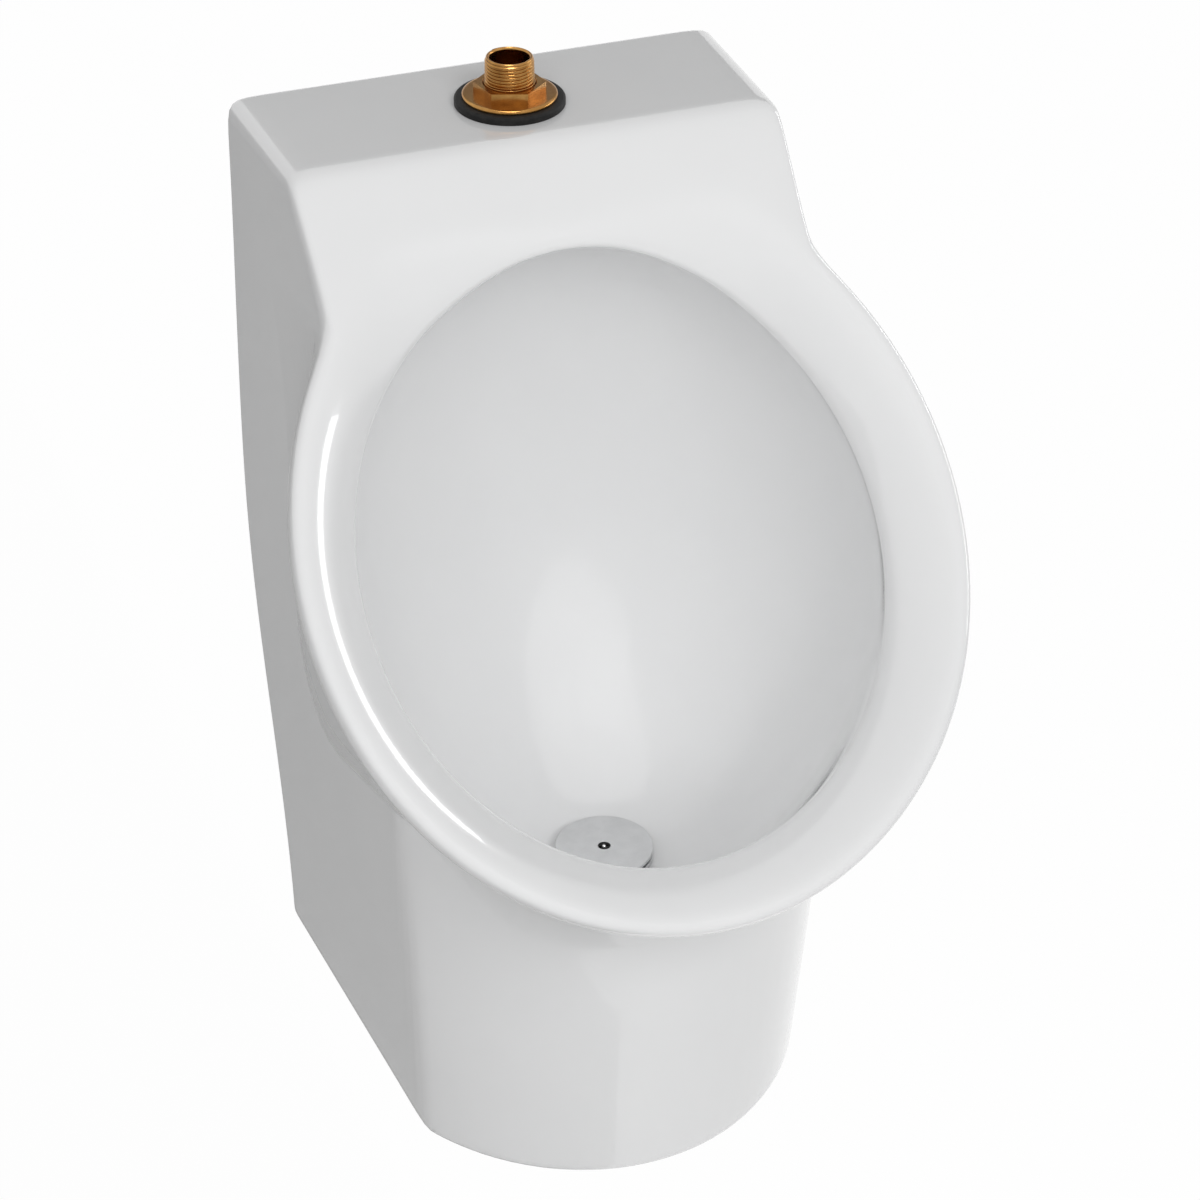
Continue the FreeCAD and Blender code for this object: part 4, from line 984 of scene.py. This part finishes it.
# outlet: gasket, flange with two bolts, and the crossbar under the drain, of the same brass
outlet = {
    "place": (0, 0, 0), "gasket": 38.0, "gasketIn": 22.5, "gasketFoot": 21.0, "gasketHead": 26.0,
    "disc": 41.0, "ear": 14.0, "bolt": 54.0, "back": 12.0, "hub": 37.0, "water": 22.5,
    "thread": 28.7, "threadLong": 16.0, "threadPitch": 2.21, "threadDeep": 0.9,
    "shank": 3.97, "shankLong": 30.0, "flats": 12.7, "headFoot": 6.6, "washer": 9.5, "washerFoot": 40.0,
    "nutFoot": 41.8, "nutHead": 48.6, "nutTurn": 15.0, "tail": 53.6, "pitch": 1.41,
}
crossbar = {"size": (46.0, 11.0, 5.0), "high": -13.5, "corner": 2.5, "edge": 0.5}


def flangeShape(values, count=144):
    ear, bolt, disc = values["ear"], values["bolt"], values["disc"]

    def circle(radius, z):
        turns = [math.tau * step / count for step in range(count)]
        return [Vector((radius * math.cos(turn), radius * math.sin(turn), z)) for turn in turns]

    def outline(inset, z):
        places = []
        for side in circle(1.0, 0):
            along, up = abs(side.x), abs(side.y)
            flat = ear / max(up, 1e-6)
            if flat * along > bolt:
                flat = bolt * along + math.sqrt(max(ear * ear - (bolt * up) ** 2, 0))
            reach = (disc ** 16 + flat ** 16) ** (1 / 16) - inset
            places.append(side * reach + Vector((0, 0, z)))
        return places

    back, front, hub = values["back"], values["gasketFoot"], values["hub"]
    wide, deep, water = values["thread"], values["threadLong"], values["water"]
    rings = [circle(wide, deep)]
    level = deep - 1.0
    while level > 2.4:
        rings += [circle(wide, level), circle(wide - values["threadDeep"], level - 1.1)]
        level -= values["threadPitch"]
    rings += [circle(wide, 1.0), circle(wide + 1.0, 0), circle(hub - 1.0, 0), circle(hub - 0.3, 0.3)]
    rings += [circle(hub, 1.0), circle(hub, back - 1.5), circle(hub + 0.5, back - 0.5)]
    rings += [circle(hub + 1.5, back), outline(1.0, back), outline(0.3, back + 0.3), outline(0, back + 1.0)]
    rings += [outline(0, front - 1.0), outline(0.3, front - 0.3), outline(1.0, front)]
    rings += [circle(water + 0.8, front), circle(water, front - 0.8), circle(water, deep + 0.02), rings[0]]
    return ringShape(rings)


def boltShape(values):
    shank, long, tail, back = values["shank"], values["shankLong"], values["tail"], values["back"]
    plain, root = shank - 0.05, shank - 0.55
    bolt = hexShape(values["flats"], 0, values["headFoot"], back)
    joinShape(bolt, spinOutline([(0, back - 0.5, 0), (plain, back - 0.5, 0), (plain, long, 0.2),
                                 (root, long + 0.5, 0.2), (root, tail - 0.5, 0.3), (shank - 1.0, tail, 0.2),
                                 (0, tail, 0)], 40, False))
    joinShape(bolt, threadShape(shank - 0.6, shank, values["pitch"], long + 0.5, tail - 0.4, 0.0, 32))
    return bolt


def buildOutlet(values):
    place, shank = values["place"], values["shank"]
    brass = metalMaterial("brass_outlet", metals["outlet"], place, (1, 0, 1))
    gasket = flatRing(values["gasketIn"], values["gasket"], values["gasketFoot"], values["gasketHead"],
                      (0.3, 0.8, 0.8, 0.3), 96)
    setPiece("outlet_gasket", gasket, blackRubber, "fixture", place, True)
    setPiece("outlet_flange", flangeShape(values), brass, "fixture", place, True)
    low, high, top = values["washerFoot"], values["nutFoot"], values["nutHead"]
    for name, side in (("left", -1), ("right", 1)):
        spot = (side * values["bolt"], 0, 0)
        setPiece("outlet_bolt_" + name, boltShape(values), brass, "fixture", spot, True)
        washer = flatRing(shank + 0.4, values["washer"], low, high, (0.2, 0.4, 0.6, 0.2), 64)
        setPiece("outlet_washer_" + name, washer, brass, "fixture", spot, True)
        nut = hexShape(values["flats"], values["nutTurn"], high, top, shank + 0.06)
        setPiece("outlet_nut_" + name, nut, brass, "outlet_nut_" + name, spot, True)
    return brass


def buildCrossbar(values, brass):
    long, wide, thick = values["size"]
    x, y, turn = long / 2, wide / 2, values["corner"]
    corners = rounded([(-x, -y, turn), (x, -y, turn), (x, y, turn), (-x, y, turn)])
    hole = (0, 0, strainer["shank"] + strainer["slack"])
    bar = extrudeOutline([Vector((spot.x, spot.y, 0)) for spot in corners], [hole], Vector((0, 0, thick)),
                         values["edge"])
    spot = Vector(strainer["place"]) + Vector((0, 0, values["high"] - thick / 2))
    setPiece("strainer_bridge", bar, brass, "fixture", spot)


# holes are (x, y, radius) in the outline's plane
def extrudeOutline(points, holes, depth, bevel, sides=None):
    shape = bmesh.new()
    first, second = sides or (Vector((1, 0, 0)), Vector((0, 1, 0)))
    turns = [math.tau * step / 24 for step in range(24)]
    loops = [list(points)]
    for x, y, radius in holes:
        loops.append([first * (x + radius * math.cos(turn)) + second * (y + radius * math.sin(turn))
                      for turn in turns])
    edges = []
    for loop in loops:
        verts = [shape.verts.new(spot) for spot in loop]
        edges += [shape.edges.new((verts[index - 1], vert)) for index, vert in enumerate(verts)]
    bmesh.ops.triangle_fill(shape, use_beauty=True, use_dissolve=False, edges=edges)
    grown = bmesh.ops.extrude_face_region(shape, geom=shape.faces[:])["geom"]
    moved = [item for item in grown if isinstance(item, bmesh.types.BMVert)]
    bmesh.ops.translate(shape, verts=moved, vec=depth)
    bmesh.ops.recalc_face_normals(shape, faces=shape.faces[:])
    sharp = [edge for edge in shape.edges if edge.calc_face_angle(0) > 1.3]
    bmesh.ops.bevel(shape, geom=sharp, offset=bevel, offset_type="OFFSET", affect="EDGES", segments=2,
                    profile=0.5, material=-1, clamp_overlap=True)
    return shape


outletBrass = buildOutlet(outlet)
buildCrossbar(crossbar, outletBrass)
print("outlet built")


# wall hangers: a screwed sheet and its hook
hanger = {
    "gap": 80.0, "half": 25.0, "sheet": 3.0, "foot": 284.0, "head": 366.0, "corner": 4.0, "edge": 0.4,
    "saddle": 333.0, "hook": 15.0, "tongue": 348.0, "bendIn": 1.0, "bendOut": 3.4, "lap": 0.5,
    "hole": 3.6, "holeHeights": (296.0, 318.0),
}


def buildHangers(values):
    plated = zincMaterial(zinc)
    half, sheet, edge, turn = values["half"], values["sheet"], values["edge"], values["corner"]
    foot, head, saddle, tongue = values["foot"], values["head"], values["saddle"], values["tongue"]
    far, near, start = -values["hook"], -values["hook"] + sheet, -sheet + values["lap"]
    outline = rounded([(-half, foot, turn), (half, foot, turn), (half, head, turn), (-half, head, turn)])
    holes = [(0, high, values["hole"]) for high in values["holeHeights"]]
    bend = rounded([(start, saddle, 0), (near, saddle, values["bendIn"]), (near, tongue, 0), (far, tongue, 0),
                    (far, saddle - sheet, values["bendOut"]), (start, saddle - sheet, 0)], 5)
    sides = (Vector((1, 0, 0)), Vector((0, 0, 1)))
    for name, side in (("left", -1), ("right", 1)):
        flat = [Vector((spot.x, 0, spot.y)) for spot in outline]
        plate = extrudeOutline(flat, holes, Vector((0, -sheet, 0)), edge, sides)
        profile = [Vector((-half, spot.x, spot.y)) for spot in bend]
        joinShape(plate, extrudeOutline(profile, [], Vector((half * 2, 0, 0)), edge))
        spot = (side * values["gap"], 0, 0)
        setPiece("hanger_" + name, plate, plated, "wall_hangers", spot)


buildHangers(hanger)
print("hangers built")


# stage and light
stage = {"floor": -0.53, "size": 8.0, "grey": 0.8, "white": 0.985, "ambient": 0.38}
flags = (  # a line of (x, z) points that runs along y
    {"name": "left", "grey": 0.78, "along": (-0.7, 3.6), "line": ((-1.2, 0.4), (-1.0, -0.5), (-0.03, -0.52))},
    {"name": "back", "grey": 0.9, "along": (1.5, 4.2), "line": ((-0.2, 1.6), (1.0, 1.6), (2.4, 1.6))},
)
lamps = (
    {"name": "key", "place": (0.45, -2.6, 2.1), "target": (0, -0.2, 0.1), "size": (1.4, 1.1), "power": 25.0,
     "mirrored": False, "along": (0, 0, 1)},
    {"name": "fill", "place": (-1.2, -2.3, 1.7), "target": (0, -0.2, 0.1), "size": (1.6, 1.6), "power": 19.0,
     "mirrored": False, "along": (0, 0, 1)},
    {"name": "streak", "place": (2.0, -0.17, 0.76), "target": (-0.15, -0.26, 0.22), "size": (0.30, 1.65),
     "power": 8.0, "mirrored": True, "along": (0, 0.85, 0.53)},
    {"name": "glint", "place": (0.03, 0.06, 2.2), "target": (0, -0.05, 0.4), "size": (0.4, 0.8),
     "power": 12.0, "mirrored": True, "along": (0, 1, 0),
     "only": ("spud_tube", "spud_locknut", "spud_washer", "strainer_screw")},
)


def seenDirectly(wire):  # 1 for camera, glossy and transmission rays
    rays = wire.node("LightPath").socket.node
    camera = Wire(wire.tree, rays.outputs["Is Camera Ray"])
    glossy = Wire(wire.tree, rays.outputs["Is Glossy Ray"])
    through = Wire(wire.tree, rays.outputs["Is Transmission Ray"])
    return wire.maths("MAXIMUM", wire.maths("MAXIMUM", camera, glossy), through)


def addStage(name, shape, grey):
    mesh = bpy.data.meshes.new(name)
    shape.to_mesh(mesh)
    shape.free()
    made = bpy.data.objects.new(name, mesh)
    scene.collection.objects.link(made)
    material, shader, wire, spot = newMaterial(name + "_paint")
    shader.inputs["Base Color"].default_value = (grey, grey, grey, 1)
    shader.inputs["Roughness"].default_value = 0.9
    mesh.materials.append(material)
    return made, shader, wire


def buildFloor(values):
    shape = bmesh.new()
    bmesh.ops.create_grid(shape, x_segments=8, y_segments=8, size=values["size"])
    bmesh.ops.translate(shape, verts=shape.verts, vec=(0, 0, values["floor"]))
    floor, shader, wire = addStage("floor", shape, values["grey"])
    glow = wire.node("Emission", inputs={"Color": (1, 1, 1, 1), "Strength": 1.0})
    lit = Wire(wire.tree, shader.outputs[0])
    both = wire.node("MixShader", inputs={0: seenDirectly(wire) * values["white"], 1: lit, 2: glow})
    wire.tree.links.new(both.socket, wire.tree.nodes["Material Output"].inputs["Surface"])


def buildFlag(values):  # a grey card out of frame, which the glaze mirrors
    shape = bmesh.new()
    low, high = values["along"]
    for vert in bmesh.ops.create_grid(shape, x_segments=2, y_segments=1, size=1.0)["verts"]:
        x, z = values["line"][round(vert.co.x + 1)]
        vert.co = (x, high if vert.co.y > 0 else low, z)
    flag, shader, wire = addStage("flag_" + values["name"], shape, values["grey"])
    flag.visible_camera = False


def setWorld(values):
    world = bpy.data.worlds.new("studio")
    scene.world = world
    world.use_nodes = True
    tree = world.node_tree
    ground = tree.nodes["Background"]
    ground.inputs["Color"].default_value = (1, 1, 1, 1)
    strength = seenDirectly(Wire(tree)) * (1 - values["ambient"]) + values["ambient"]
    tree.links.new(strength.socket, ground.inputs["Strength"])


def addLamp(values):  # mirrored lamps only show as reflections, the others only light
    data = bpy.data.lights.new(values["name"], "AREA")
    data.shape = "RECTANGLE"
    data.size, data.size_y = values["size"]
    data.energy = values["power"]
    lamp = bpy.data.objects.new(values["name"], data)
    scene.collection.objects.link(lamp)
    back = (Vector(values["place"]) - Vector(values["target"])).normalized()
    side = Vector(values["along"]).cross(back).normalized()
    turn = Matrix((side, back.cross(side), back)).transposed().to_4x4()
    lamp.matrix_world = Matrix.Translation(values["place"]) @ turn
    lamp.visible_glossy = values["mirrored"]
    lamp.visible_diffuse = not values["mirrored"]
    if "only" in values:
        shone = bpy.data.collections.new(values["name"] + "_pieces")
        for node in values["only"]:
            shone.objects.link(bpy.data.objects[node + "_look"])
        lamp.light_linking.receiver_collection = shone


scene.view_settings.view_transform = "Standard"
buildFloor(stage)
setWorld(stage)
for flag in flags:
    buildFlag(flag)
for lamp in lamps:
    addLamp(lamp)
print("stage and lamps set")
